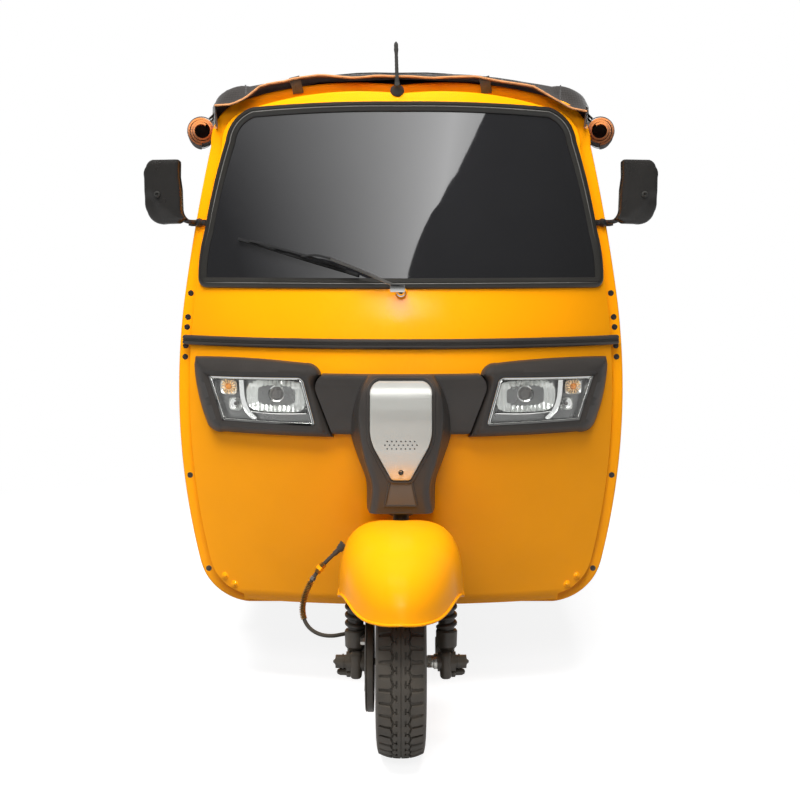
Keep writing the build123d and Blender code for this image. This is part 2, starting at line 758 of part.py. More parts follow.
def rim_at(x, y, bore, hub_out, hub_in, outboard):
    """Pressed rim with its hub; outboard is the side of X that the dished face looks to."""
    h = TYRE_HALF_W - 14
    barrel = [
        (-h - 5, BEAD_R + 7),
        (-h - GAP, BEAD_R + 7),
        (-h - GAP, BEAD_R - GAP),
        (-20, BEAD_R - GAP),
        (-14, BEAD_R - 16),
        (14, BEAD_R - 16),
        (20, BEAD_R - GAP),
        (h + GAP, BEAD_R - GAP),
        (h + GAP, BEAD_R + 7),
        (h + 5, BEAD_R + 7),
        (h + 5, BEAD_R - 5),
        (18, BEAD_R - 5),
        (12, BEAD_R - 21),
        (-12, BEAD_R - 21),
        (-18, BEAD_R - 5),
        (-h - 5, BEAD_R - 5),
        (-h - 5, BEAD_R + 7),
    ]
    rim = wheel_solid(barrel)
    disc = Rot(0, 90, 0) * Cylinder(BEAD_R - 18, 5)
    for k in range(6):
        a = math.radians(60 * k)
        disc -= Pos(0, 62 * math.cos(a), 62 * math.sin(a)) * Rot(0, 90, 0) * Cylinder(11, 20)
    rim += disc
    rim += rod((-hub_in * outboard, 0, 0), (hub_out * outboard, 0, 0), 32)
    if bore:
        rim -= rod((-200, 0, 0), (200, 0, 0), bore)
    return Pos(x, y, TYRE_R) * rim


def wheels():
    keep("front_tyre", tyre_at(0, FRONT_AXLE_Y))
    keep("front_rim", rim_at(0, FRONT_AXLE_Y, AXLE_R + RUN_FIT, 44, 44, 1))
    for name, side in LEFT_RIGHT:
        x = side * REAR_WHEEL_X
        keep(f"rear_{name}_tyre", tyre_at(x, REAR_AXLE_Y))
        rim = rim_at(x, REAR_AXLE_Y, 0, 34, 30, side)
        inner = side * 205
        rim += rod((inner, REAR_AXLE_Y, TYRE_R), (x, REAR_AXLE_Y, TYRE_R), HALF_SHAFT_R)
        keep(f"rear_{name}_rim", rim)


def rear_suspension():
    """Trailing arms with their springs and dampers."""
    arm_x, top_y = 480, REAR_AXLE_Y + 10
    arm = block(arm_x - 22, arm_x + 22, REAR_AXLE_Y - 260, REAR_AXLE_Y - 40, TYRE_R - 10, TYRE_R + 26)
    arm += rod((arm_x - 26, REAR_AXLE_Y, TYRE_R), (arm_x + 26, REAR_AXLE_Y, TYRE_R), 46)
    arm += block(240, arm_x, REAR_AXLE_Y - 290, REAR_AXLE_Y - 250, TYRE_R + 26 - 36, TYRE_R + 26)
    arm += rod((235, REAR_AXLE_Y - 270, TYRE_R + 8), (235, REAR_AXLE_Y - 270, FLOOR_TOP - 96), 16)
    arm -= rod((arm_x - 60, REAR_AXLE_Y, TYRE_R), (arm_x + 60, REAR_AXLE_Y, TYRE_R), HALF_SHAFT_R + RUN_FIT)
    keep("rear_arms", both_sides(arm))
    base = TYRE_R + 46 + GAP
    damper = rod((arm_x, top_y, base), (arm_x, top_y, DECK_Z - PANEL_T - GAP), 20)
    for k in range(9):
        damper += Pos(arm_x, top_y, base + 40 + k * 30) * Torus(26, 7)
        if k == 0:
            damper += Pos(arm_x, top_y, base + 30) * Cylinder(34, 8)
    damper += Pos(arm_x, top_y, base + 40 + 8.4 * 30) * Cylinder(34, 8)
    keep("rear_dampers", both_sides(damper))


def engine():
    """Engine and gearbox as one block, with the silencer."""
    y = REAR_AXLE_Y
    top = DECK_Z - PANEL_T - 60
    unit = block(-190, 190, y - 60, y + 190, 220, top)
    for x in (-120, 120):
        unit += rod((x, y - 30, top - 10), (x, y - 30, DECK_Z - PANEL_T - GAP), 14)
    keep("engine_block", unit)
    can = rod((-260, y + 262, 320), (230, y + 262, 320), 48)
    can += rod((-230, y + 262, 320), (-230, y + 262, 250), 16)
    can += block(-40, 40, y + 190 + GAP, y + 230, 300, 340)
    keep("silencer", can)


# ---------------------------------------------------------------- steering assembly
def steering():
    stem_low = axis_point(470)
    column = rod(stem_low, axis_point(995), STEM_R)
    column += rod(axis_point(HEAD_HIGH + GAP), axis_point(HEAD_HIGH + 16), HEAD_TUBE_R)
    column += rod(axis_point(HEAD_LOW - 30), axis_point(HEAD_LOW - GAP), HEAD_TUBE_R)
    keep("steering_column", column)

    _, bar_y, bar_z = axis_point(985)
    centre = (0, bar_y, bar_z)
    half = [centre, (110, bar_y, bar_z), (160, bar_y + 52, bar_z + 8), (250, bar_y + 84, bar_z + 2)]
    bar = both_sides(pipe(half, 11)) - rod(axis_point(900), axis_point(1080), STEM_R + GAP)
    clamp = rod(axis_point(966), axis_point(1008), STEM_R + 12) - rod(axis_point(900), axis_point(1080), STEM_R + GAP)
    inner, outer = Vector(*half[2]), Vector(*half[3])
    beyond = outer + (outer - inner) * 0.3
    grip = rod(tuple(inner + (outer - inner) * 0.15), tuple(beyond), 17)
    grip -= rod(tuple(inner), tuple(outer + (outer - inner) * 0.14), 11 + GAP)
    keep("handlebar", bar + clamp + both_sides(grip))


def fork():
    """Crown and legs of the leading-link fork."""
    _, crown_y, crown_z = axis_point(452)
    crown = block(-FORK_X - 14, FORK_X + 14, crown_y - 26, crown_y + 24, crown_z - 14, crown_z + 8)
    top_mount = block(FORK_X - 12, FORK_X + 12, behind(2), crown_y, crown_z - 14, crown_z)
    leg = pipe([(FORK_X, crown_y + 6, crown_z), (FORK_X, behind(PIVOT_BEHIND), TYRE_R + 8)], 15)
    pivot = rod((FORK_X - 22, behind(PIVOT_BEHIND), TYRE_R), (FORK_X + 22, behind(PIVOT_BEHIND), TYRE_R), 20)
    shape = crown + both_sides(leg) + both_sides(top_mount) + both_sides(pivot)
    shape -= rod(axis_point(400), axis_point(560), STEM_R + GAP)
    keep("fork", shape)

    link = block(FORK_X - 9, FORK_X + 9, behind(4), behind(PIVOT_BEHIND - 20 - GAP), TYRE_R - 16, TYRE_R + 14)
    link += rod((FORK_X - 20, behind(0), TYRE_R), (FORK_X + 20, behind(0), TYRE_R), 22)
    axle = rod((-AXLE_HALF, behind(0), TYRE_R), (AXLE_HALF, behind(0), TYRE_R), AXLE_R)
    nut = rod((FORK_X + 18, behind(0), TYRE_R), (AXLE_HALF, behind(0), TYRE_R), 15)
    keep("front_axle", both_sides(link + nut) + axle)

    base = TYRE_R + 22 + GAP
    top = crown_z - 14 - 2 * GAP
    damper = rod((FORK_X, behind(8), base), (FORK_X, behind(14), top), 13)
    for k in range(8):
        damper += Pos(FORK_X, behind(8 + 6 * k / 8), base + 16 + k * 21) * Torus(18, 5.5)
    keep("front_dampers", both_sides(damper))

    plate = rod((-74, behind(0), TYRE_R), (-60, behind(0), TYRE_R), 110)
    plate += rod((-FORK_X + 20 + GAP, behind(0), TYRE_R), (-60, behind(0), TYRE_R), 30)
    plate -= rod((-200, behind(0), TYRE_R), (200, behind(0), TYRE_R), AXLE_R + GAP)
    keep("brake_plate", plate)


def bend_radii(points):
    """The largest tangent arc at each corner that leaves a tenth of the shorter run straight."""
    radii = []
    for before, here, after in zip(points, points[1:], points[2:]):
        run_in, run_out = Vector(*here) - Vector(*before), Vector(*after) - Vector(*here)
        half_turn = math.radians(run_in.get_angle(run_out)) / 2
        radii.append(0.45 * min(run_in.length, run_out.length) / math.tan(half_turn))
    return radii


def brake_hose():
    """Front brake hose, hanging in a loop from the mudguard's flank to the brake plate."""
    points = [(x, behind(y), z) for x, y, z in HOSE_ROUTE]
    radii = bend_radii(points)
    path = FilletPolyline(*points, radius=radii)
    section = Plane(origin=path @ 0, z_dir=path % 0) * Circle(HOSE_R)
    hose = sweep(section, path=path)
    print("hose bend radii", [round(r) for r in radii])
    print("hose volume over section times length", hose.volume / (math.pi * HOSE_R**2 * path.length))
    keep("brake_hose", hose)


# mudguard: half outlines seen from ahead, from the side (behind the axle, height) and from above
GUARD_T = 4
GUARD_AHEAD = [(0, 356), (141, 356), ((136, 442), (116, 482)), ((68, 508), (0, 514))]
GUARD_SIDE = [
    (-MUDGUARD_REACH, 356),
    ((-196, 462), (-60, 506)),
    ((20, 514), (110, 502)),
    ((205, 452), (234, 356)),
    (-MUDGUARD_REACH, 356),
]
GUARD_PLAN = [
    (0, -MUDGUARD_REACH - 2),
    ((66, -205), (106, -90)),
    ((126, -32), (141, 20)),
    (141, 150),
    ((124, 205), (70, 232)),
    (0, 240),
]


def guard_volume(inset, drop):
    """The mudguard as a block: three outlines met, and reaching drop below its lip."""
    ahead, side, plan = (
        mirrored_face(GUARD_AHEAD), closed_face(GUARD_SIDE), mirrored_face(GUARD_PLAN)
    )
    if inset:
        ahead, side, plan = (offset(face, -inset) for face in (ahead, side, plan))
    low = 356 - drop
    solid = from_ahead(ahead, -400, 400)
    solid &= Pos(0, FRONT_AXLE_Y, 0) * from_side(side, 200)
    if drop:
        foot = 356 + inset
        skirt = from_ahead(Pos(0, (low + foot + 2) / 2) * Rectangle(400, foot + 2 - low), -400, 400)
        solid += skirt
    return solid & Pos(0, FRONT_AXLE_Y, 0) * extrude(plan, 800)


def mudguard():
    shell = guard_volume(0, 0) - guard_volume(GUARD_T, 30)
    shell -= rod(axis_point(400), axis_point(560), STEM_R + GAP)
    start, towards = ((x, behind(y), z) for x, y, z in HOSE_ROUTE[:2])
    back = (Vector(*start) - Vector(*towards)).normalized() * GLAND_LENGTH
    shell += rod(start, tuple(Vector(*start) + back), GLAND_R)
    keep("front_mudguard", shell)


def main():
    for make in (
        floor_pan, chassis_frame, steering_head, front_panels, lamps, nose, front_fittings,
        cabin_fittings, seats, rear_body, rear_fittings, canopy, roof_frame, partition_rail,
        side_curtains, wheels, rear_suspension, engine, steering, fork, mudguard, brake_hose,
    ):
        make()
    os.makedirs("parts", exist_ok=True)
    for name, shape in PARTS.items():
        export_step(shape, f"parts/{name}.step")


main()
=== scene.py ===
import math

import bmesh
import bpy
import numpy as np
from mathutils import Matrix, Vector
from mathutils.geometry import delaunay_2d_cdt


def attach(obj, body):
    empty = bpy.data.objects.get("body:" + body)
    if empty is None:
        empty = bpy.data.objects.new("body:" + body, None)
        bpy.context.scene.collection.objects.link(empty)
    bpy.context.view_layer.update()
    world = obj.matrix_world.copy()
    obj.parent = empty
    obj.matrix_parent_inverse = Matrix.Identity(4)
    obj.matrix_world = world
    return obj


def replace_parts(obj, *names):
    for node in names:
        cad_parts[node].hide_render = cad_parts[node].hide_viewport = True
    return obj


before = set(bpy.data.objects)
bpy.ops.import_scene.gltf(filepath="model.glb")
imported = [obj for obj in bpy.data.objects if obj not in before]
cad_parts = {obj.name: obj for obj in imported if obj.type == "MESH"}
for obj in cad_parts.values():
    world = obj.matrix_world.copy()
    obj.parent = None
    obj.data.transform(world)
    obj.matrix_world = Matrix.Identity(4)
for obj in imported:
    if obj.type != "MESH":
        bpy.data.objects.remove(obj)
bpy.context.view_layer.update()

# Places are in millimetres, in the CAD's frame, until a mesh is made. "Behind" is rearwards of the front
# axle. The camera, the lamps, the cards and the floor are in metres.
MM = 0.001
FRONT_AXLE_Y, REAR_AXLE_Y, REAR_END_Y = -1070.0, 915.0, 1320.0
TYRE_R, REAR_WHEEL_X = 209.0, 575.0
RAKE, AXIS_BEHIND = math.radians(26), 30.0
CHASSIS, STEERING, HATCH = "chassis", "steering", "engine_hatch"
AHEAD = (0.0, -1.0, 0.0)
scene = bpy.context.scene
scene.view_settings.view_transform = "Standard"


def behind(distance):
    return FRONT_AXLE_Y + distance


# ---------------------------------------------------------------- camera
camera = bpy.data.objects.new("camera", bpy.data.cameras.new("camera"))
scene.collection.objects.link(camera)
scene.camera = camera
camera.data.lens, camera.data.sensor_width = 56.25, 36.0
camera.location = (-0.0022, -3.790, 1.077)
camera.rotation_euler = (math.radians(90 - 5.89), 0, 0)


# ---------------------------------------------------------------- materials
def feed(tree, socket, value):
    """Link a socket to another, or give it a plain value."""
    if isinstance(value, bpy.types.NodeSocket):
        tree.links.new(value, socket)
    else:
        socket.default_value = value


def maths_node(tree, operation, *values):
    """A Math node's result from sockets and numbers."""
    made = tree.nodes.new("ShaderNodeMath")
    made.operation = operation
    for socket, value in zip(made.inputs, values):
        feed(tree, socket, value)
    return made.outputs[0]


# the noise values between which colour and roughness blend
COLOUR_BAND, ROUGH_BAND = (0.35, 0.65), (0.3, 0.7)
# dust on low parts: none above the first height in metres, full from the second down
DUST_BAND, DUST_COLOUR = (0.75, 0.15), (0.32, 0.25, 0.17, 1)


class Look:
    """A procedural material: mottled colour and roughness, bumps of several sizes, settings on the shader."""

    def __init__(self, name, colour, rough, vary=0.06, patch=7.0, rough_vary=0.06, bumps=(), low_dust=0.0,
                 weave=0.0, **sockets):
        self.material = bpy.data.materials.new(name)
        self.material.use_nodes = True
        self.tree = self.material.node_tree
        self.shader = self.tree.nodes["Principled BSDF"]
        self.place = self.node("ShaderNodeTexCoord").outputs["Object"]
        for socket, value in sockets.items():
            self.shader.inputs[socket.replace("_", " ")].default_value = value
        mottle = self.span(self.noise(patch, 4.0), *COLOUR_BAND)
        base = self.mix(mottle, self.tint(colour, 1 - vary), self.tint(colour, 1 + vary))
        if low_dust:
            height = self.node("ShaderNodeSeparateXYZ", Vector=self.place).outputs["Z"]
            dusty = self.maths("MULTIPLY", self.span(height, *DUST_BAND), self.noise(22.0, 6.0))
            base = self.mix(self.maths("MULTIPLY", dusty, low_dust), base, DUST_COLOUR)
        patches = self.noise(patch * 2.3, 5.0)
        roughness = self.span(patches, *ROUGH_BAND, rough - rough_vary, rough + rough_vary)
        normal = None
        for scale, depth in bumps:
            normal = self.bump(self.noise(scale, 3.0), depth, normal)
        if weave:
            normal = self.bump(self.weave(weave), 0.0004, normal)
        for socket, value in (("Base Color", base), ("Roughness", roughness), ("Normal", normal)):
            self.tree.links.new(value, self.shader.inputs[socket])

    @staticmethod
    def tint(colour, factor):
        return (*(min(1.0, c * factor) for c in colour[:3]), 1)

    def node(self, kind, **inputs):
        made = self.tree.nodes.new(kind)
        for name, value in inputs.items():
            feed(self.tree, made.inputs[name.replace("_", " ")], value)
        return made

    def noise(self, scale, detail):
        return self.node("ShaderNodeTexNoise", Vector=self.place, Scale=scale, Detail=detail).outputs["Fac"]

    def maths(self, operation, a, b):
        return maths_node(self.tree, operation, a, b)

    def span(self, value, low, high, to_low=0.0, to_high=1.0):
        made = self.node("ShaderNodeMapRange", Value=value, From_Min=low, From_Max=high, To_Min=to_low,
                         To_Max=to_high)
        return made.outputs["Result"]

    def mix(self, share, a, b):
        """Two colours mixed; inputs 6 and 7 and output 2 are the node's sockets for colours."""
        made = self.tree.nodes.new("ShaderNodeMix")
        made.data_type = "RGBA"
        for socket, value in (("Factor", share), (6, a), (7, b)):
            feed(self.tree, made.inputs[socket], value)
        return made.outputs[2]

    def bump(self, height, depth, normal=None):
        made = self.node("ShaderNodeBump", Height=height, Strength=1.0, Distance=depth)
        if normal:
            self.tree.links.new(normal, made.inputs["Normal"])
        return made.outputs["Normal"]

    def weave(self, threads):
        """Crossed threads, so many a metre, whichever way the cloth faces."""
        waves = []
        for axis in "XYZ":
            wave = self.node("ShaderNodeTexWave", Vector=self.place, Scale=threads / 20, Distortion=0.4)
            wave.bands_direction = axis
            waves.append(wave.outputs["Fac"])
        pairs = [self.maths("MULTIPLY", waves[i], waves[(i + 1) % 3]) for i in range(3)]
        return self.maths("MAXIMUM", self.maths("MAXIMUM", pairs[0], pairs[1]), pairs[2])


PAINT_BUMP = ((9.0, 0.0009), (260.0, 0.00003))
GRAIN = ((900.0, 0.00012), (60.0, 0.0002))
yellow = Look("yellow_paint", (0.97, 0.355, 0.002), 0.36, vary=0.015, bumps=PAINT_BUMP, low_dust=0.04,
              Coat_Weight=0.16, Coat_Roughness=0.14, Specular_IOR_Level=0.08)
plastic = Look("dark_plastic", (0.033, 0.0295, 0.027), 0.44, vary=0.10, bumps=GRAIN, low_dust=0.15)
mirror_plastic = Look("mirror_plastic", (0.016, 0.015, 0.014), 0.30, vary=0.10, bumps=((500.0, 0.00006),))
grey_plastic = Look("grey_plastic", (0.085, 0.078, 0.070), 0.5, vary=0.10, bumps=GRAIN, low_dust=0.15)
rubber = Look("black_rubber", (0.030, 0.029, 0.027), 0.55, vary=0.12, bumps=GRAIN, low_dust=0.25)
seal_look = Look("seal_rubber", (0.020, 0.019, 0.017), 0.34, vary=0.10, bumps=((300.0, 0.00008),))
# the seal's locking strip: light grey, partly its own colour and partly a painted highlight along the seal's
# ridge
grey_strip_painted_highlight = Look("seal_strip_painted_highlight", (0.16, 0.155, 0.145), 0.25, vary=0.10, bumps=((300.0, 0.00005),))
black_paint = Look("black_frame_paint", (0.018, 0.018, 0.018), 0.35, vary=0.15, bumps=PAINT_BUMP,
                   low_dust=0.3)
glass = Look("windscreen_glass", (0.012, 0.012, 0.013), 0.035, vary=0.05, rough_vary=0.01,
             bumps=((2.2, 0.0006),), Transmission_Weight=0.10, IOR=1.52)
clear = Look("clear_lens", (0.97, 0.98, 0.98), 0.03, vary=0.01, rough_vary=0.01, bumps=((5.0, 0.0002),),
             Transmission_Weight=1.0, IOR=1.45)
silver = Look("silver_panel", (0.54, 0.54, 0.505), 0.20, vary=0.03, bumps=((400.0, 0.00002),), Metallic=0.5)
chrome = Look("chrome", (0.78, 0.78, 0.76), 0.10, vary=0.04, rough_vary=0.04, bumps=((120.0, 0.00003),),
              Metallic=1.0)
steel = Look("worn_steel", (0.36, 0.35, 0.33), 0.38, vary=0.18, rough_vary=0.12, bumps=((220.0, 0.0001),),
             low_dust=0.3, Metallic=0.9)
zinc = Look("bright_zinc", (0.62, 0.61, 0.57), 0.28, vary=0.12, bumps=((200.0, 0.00006),), Metallic=0.9)
brass = Look("brass", (0.52, 0.29, 0.085), 0.30, vary=0.15, bumps=((200.0, 0.00006),), Metallic=0.9)
dark_reflector = Look("lamp_floor", (0.17, 0.17, 0.165), 0.30, vary=0.10, bumps=((90.0, 0.00006),),
                      Metallic=0.8)
reflector_look = Look("lamp_reflector", (0.60, 0.61, 0.58), 0.16, vary=0.10, rough_vary=0.05,
                      bumps=((90.0, 0.00006),), Metallic=0.7)
cast = Look("cast_alloy", (0.25, 0.25, 0.245), 0.52, vary=0.20, bumps=((450.0, 0.0003),), low_dust=0.35,
            Metallic=0.7)
canvas = Look("canvas", (0.020, 0.0165, 0.0145), 0.66, vary=0.14, patch=14.0,
              bumps=((5.0, 0.004), (45.0, 0.0008)), weave=900.0, Sheen_Weight=0.25, Sheen_Roughness=0.4)
# the hood's inner lining: the curtains' orange lining darkened to red-brown, painted shade under the hood
painted_shade_lining = Look("painted_shade_lining", (0.085, 0.028, 0.016), 0.75, vary=0.18, patch=16.0, bumps=((40.0, 0.0008),),
                   weave=900.0, Sheen_Weight=0.1)
lining = Look("canvas_lining", (0.50, 0.16, 0.035), 0.75, vary=0.18, patch=16.0, bumps=((40.0, 0.0008),),
              weave=900.0, Sheen_Weight=0.2)
piping_look = Look("hem_piping", (0.52, 0.24, 0.10), 0.6, vary=0.15, patch=60.0, weave=1200.0)
webbing = Look("grey_webbing", (0.10, 0.09, 0.08), 0.8, vary=0.15, patch=60.0, weave=1500.0)
piping_vinyl = Look("seat_piping", (0.30, 0.12, 0.03), 0.45, vary=0.12, bumps=GRAIN)
vinyl = Look("seat_vinyl", (0.045, 0.040, 0.040), 0.42, vary=0.10, bumps=((700.0, 0.0003), (30.0, 0.0010)))
tyre_look = Look("tyre_rubber", (0.047, 0.044, 0.040), 0.62, vary=0.16, patch=18.0, bumps=((500.0, 0.0002),),
                 low_dust=0.22)
rim_look = Look("rim_paint", (0.50, 0.49, 0.46), 0.36, vary=0.06, bumps=PAINT_BUMP, low_dust=0.3)
floor_look = Look("floor_paint", (0.055, 0.052, 0.048), 0.6, vary=0.2, bumps=((120.0, 0.0005),), low_dust=0.2)
mat_look = Look("ribbed_mat", (0.028, 0.027, 0.026), 0.6, vary=0.15, bumps=GRAIN, low_dust=0.4)
cream = Look("petal_reflector", (0.95, 0.62, 0.30), 0.2, vary=0.08, bumps=((150.0, 0.0003),), Metallic=0.4)
amber = Look("amber_lens", (1.0, 0.34, 0.025), 0.14, vary=0.08, bumps=((150.0, 0.0003),),
             Transmission_Weight=0.15)
red_lens = Look("red_lens", (0.62, 0.015, 0.012), 0.14, vary=0.08, bumps=((150.0, 0.0003),),
                Transmission_Weight=0.3)
white_plate = Look("plate_white", (0.72, 0.72, 0.70), 0.4, vary=0.03, bumps=PAINT_BUMP)
mirror_look = Look("mirror_face", (0.85, 0.86, 0.86), 0.03, vary=0.01, rough_vary=0.01,
                   bumps=((3.0, 0.0001),), Metallic=1.0)
window_look = Look("clear_vinyl", (0.62, 0.60, 0.52), 0.16, vary=0.06, bumps=((9.0, 0.004),),
                   Transmission_Weight=0.75, IOR=1.3)


# ---------------------------------------------------------------- outlines
def unit(vector):
    return np.asarray(vector, float) / np.linalg.norm(vector)


def units(rows):
    return rows / np.linalg.norm(rows, axis=1)[:, None]


def full_turn(n):
    """The angles of n even steps round."""
    return np.arange(n) * 2 * math.pi / n


def arc(first, middle, last, step):
    """Points after first, along the circle through three points."""
    (ax, ay), (bx, by), (cx, cy) = first, middle, last
    d = 2 * (ax * (by - cy) + bx * (cy - ay) + cx * (ay - by))
    if abs(d) < 1e-6:
        return [last]
    a2, b2, c2 = ax * ax + ay * ay, bx * bx + by * by, cx * cx + cy * cy
    ox = (a2 * (by - cy) + b2 * (cy - ay) + c2 * (ay - by)) / d
    oy = (a2 * (cx - bx) + b2 * (ax - cx) + c2 * (bx - ax)) / d
    radius = math.hypot(ax - ox, ay - oy)
    t0, tm, t1 = (math.atan2(y - oy, x - ox) for x, y in (first, middle, last))
    turn, mid = (t1 - t0) % (2 * math.pi), (tm - t0) % (2 * math.pi)
    if mid > turn:
        turn -= 2 * math.pi
    n = max(3, int(abs(turn) * radius / step))
    return [
        (ox + radius * math.cos(t0 + turn * k / n), oy + radius * math.sin(t0 + turn * k / n))
        for k in range(1, n + 1)
    ]


def outline(points, step):
    """Points along straight runs and arcs; a pair of points is an arc through the first to the second."""
    out = [points[0]]
    for entry in points[1:]:
        if isinstance(entry[0], tuple):
            out += arc(out[-1], entry[0], entry[1], step)
        else:
            run = math.dist(out[-1], entry)
            n = max(1, int(run / step))
            (ax, ay), (bx, by) = out[-1], entry
            out += [(ax + (bx - ax) * k / n, ay + (by - ay) * k / n) for k in range(1, n + 1)]
    return np.array(out)


def mirrored(points, step):
    """A closed outline from its half at +X, which starts and ends on X = 0."""
    half = outline(points, step)
    return np.vstack([half[:-1], (half * (-1, 1))[::-1][:-1]])


def closed(points, step):
    """An outline whose last point isn't its first again."""
    whole = outline(points, step)
    return whole[:-1] if np.allclose(whole[0], whole[-1]) else whole


def counter_clockwise(loop):
    x, y = loop[:, 0], loop[:, 1]
    return loop if np.sum(x * np.roll(y, -1) - np.roll(x, -1) * y) > 0 else loop[::-1]


def inset(loop, distance):
    """The loop moved inwards, with mitred corners."""
    loop = counter_clockwise(loop)
    ahead = units(np.roll(loop, -1, 0) - loop)
    inward = np.stack([-ahead[:, 1], ahead[:, 0]], 1)
    mitre = inward + np.roll(inward, 1, 0)
    mitre /= np.maximum((mitre * mitre).sum(1), 0.5)[:, None] / 2
    return loop + mitre * distance


def distance_to(loop, x, z):
    """How far each place is from a closed loop."""
    best = np.full(np.shape(x), 1e9)
    for (ax, az), (bx, bz) in zip(loop, np.roll(loop, -1, 0)):
        dx, dz = bx - ax, bz - az
        t = np.clip(((x - ax) * dx + (z - az) * dz) / max(dx * dx + dz * dz, 1e-9), 0, 1)
        best = np.minimum(best, np.hypot(x - ax - t * dx, z - az - t * dz))
    return best


def inside(loop, x, z):
    result = np.zeros(np.shape(x), bool)
    for (ax, az), (bx, bz) in zip(loop, np.roll(loop, -1, 0)):
        if az != bz:
            crosses = ((az > z) != (bz > z)) & (x < (bx - ax) * (z - az) / (bz - az) + ax)
            result ^= crosses
    return result


# ---------------------------------------------------------------- meshes
def add(name, vertices, faces, look, body=CHASSIS, smooth=35, slot=None):
    """A mesh object from millimetres, shaded smooth up to an angle, riding on a body."""
    mesh = bpy.data.meshes.new(name)
    mesh.from_pydata((np.asarray(vertices, float) * MM).tolist(), [],
                     [tuple(int(i) for i in f) for f in faces])
    mesh.validate()
    bm = bmesh.new()
    bm.from_mesh(mesh)
    bmesh.ops.remove_doubles(bm, verts=bm.verts, dist=1e-6)
    bmesh.ops.recalc_face_normals(bm, faces=bm.faces)
    bm.to_mesh(mesh)
    bm.free()
    mesh.shade_smooth()
    mesh.set_sharp_from_angle(angle=math.radians(smooth))
    made = bpy.data.objects.new(name, mesh)
    scene.collection.objects.link(made)
    looks = look if isinstance(look, (list, tuple)) else [look]
    for each in looks:
        mesh.materials.append(each.material)
    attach(made, body)
    return made


def joined(parts):
    """Vertices and faces of several (vertices, faces) pairs as one."""
    vertices, faces, start = [], [], 0
    for some, their in parts:
        vertices.append(np.asarray(some, float))
        faces += [tuple(i + start for i in f) for f in their]
        start += len(some)
    return np.vstack(vertices), faces


def flipped(part):
    """The mirror image at the other side of X = 0."""
    vertices, faces = part
    return np.asarray(vertices) * (-1, 1, 1), [tuple(reversed(f)) for f in faces]


def both(part):
    return joined([part, flipped(part)])


def grid_faces(rows, columns, wrap_rows=False, wrap_columns=False):
    faces = []
    for i in range(rows if wrap_rows else rows - 1):
        for j in range(columns if wrap_columns else columns - 1):
            a, b = i * columns + j, i * columns + (j + 1) % columns
            c, d = ((i + 1) % rows) * columns + (j + 1) % columns, ((i + 1) % rows) * columns + j
            faces.append((a, b, c, d))
    return faces


def end_caps(rows, columns):
    """The two faces that close a tube of rings."""
    return [tuple(range(columns)), tuple(range((rows - 1) * columns, rows * columns))[::-1]]


def open_edges(faces):
    """The edges with one face only, as pairs in the face's own order."""
    edges = dict.fromkeys((a, b) for f in faces for a, b in zip(f, f[1:] + f[:1]))
    return [(a, b) for a, b in edges if (b, a) not in edges]


def thickened(faces, n):
    """Faces, the same faces turned over on the vertices n further on, and the rim between them."""
    back = [tuple(i + n for i in reversed(f)) for f in faces]
    return faces + back + [(b, a, a + n, b + n) for a, b in open_edges(faces)]


def directions(path, wrap=False):
    if wrap:
        run = np.roll(path, -1, 0) - np.roll(path, 1, 0)
    else:
        run = np.gradient(path, axis=0)
    return run / np.maximum(np.linalg.norm(run, axis=1), 1e-9)[:, None]


def sweep(path, section, out, wrap=False):
    """A closed section (across, outwards) carried along a path; out is one direction or one a point."""
    path, section = np.asarray(path, float), np.asarray(section, float)
    along = directions(path, wrap)
    out = np.broadcast_to(np.asarray(out, float), path.shape)
    out = units(out - (out * along).sum(1)[:, None] * along)
    across = np.cross(along, out)
    rows = path[:, None] + across[:, None] * section[None, :, :1] + out[:, None] * section[None, :, 1:]
    n, m = len(path), len(section)
    faces = grid_faces(n, m, wrap, True)
    if not wrap:
        faces += end_caps(n, m)
    return rows.reshape(-1, 3), faces


def curve_through(points, steps=8):
    """A smooth line through points (Catmull-Rom)."""
    points = np.asarray(points, float)
    padded = np.vstack([2 * points[0] - points[1], points, 2 * points[-1] - points[-2]])
    out = []
    for a, b, c, d in zip(padded, padded[1:], padded[2:], padded[3:]):
        for t in np.arange(steps) / steps:
            square, cube = (2 * a - 5 * b + 4 * c - d) * t**2, (3 * b - a - 3 * c + d) * t**3
            out.append(0.5 * (2 * b + (c - a) * t + square + cube))
    return np.array([*out, points[-1]])


def flat_section(half_width, half_height):
    """A rectangle, to be swept."""
    w, h = half_width, half_height
    return [(-w, -h), (w, -h), (w, h), (-w, h)]


def circle(radius, n, flat=1.0):
    turn = full_turn(n)
    return np.stack([radius * np.cos(turn), radius * flat * np.sin(turn)], 1)


def tube(path, radius, n=12, wrap=False):
    """A round bar along a path; radius is one number or one a point."""
    path = np.asarray(path, float)
    along = directions(path, wrap)
    side = np.cross(along[0], (0, 0, 1.0) if abs(along[0][2]) < 0.9 else (1.0, 0, 0))
    turn = full_turn(n)
    rows, radii = [], np.broadcast_to(radius, len(path))
    for place, run, r in zip(path, along, radii):
        side = side - run * np.dot(side, run)
        side /= np.linalg.norm(side)
        up = np.cross(run, side)
        rows.append(place + r * (np.cos(turn)[:, None] * side + np.sin(turn)[:, None] * up))
    faces = grid_faces(len(path), n, wrap, True)
    if not wrap:
        faces += [cap[::-1] for cap in end_caps(len(path), n)]
    return np.vstack(rows), faces


LEAST_R = 0.02


def lathe(profile, origin, axis, n=32):
    """A solid turned about an axis from points (along the axis, radius), closed at both ends."""
    axis = unit(axis)
    side = np.cross(axis, (0, 0, 1.0) if abs(axis[2]) < 0.9 else (1.0, 0, 0))
    side /= np.linalg.norm(side)
    up = np.cross(axis, side)
    turn = full_turn(n)
    ring = np.cos(turn)[:, None] * side + np.sin(turn)[:, None] * up
    origin = np.asarray(origin, float)
    rows = [origin + axis * along + ring * max(radius, LEAST_R) for along, radius in profile]
    faces = grid_faces(len(profile), n, False, True)
    return np.vstack(rows), faces + [cap[::-1] for cap in end_caps(len(profile), n)]


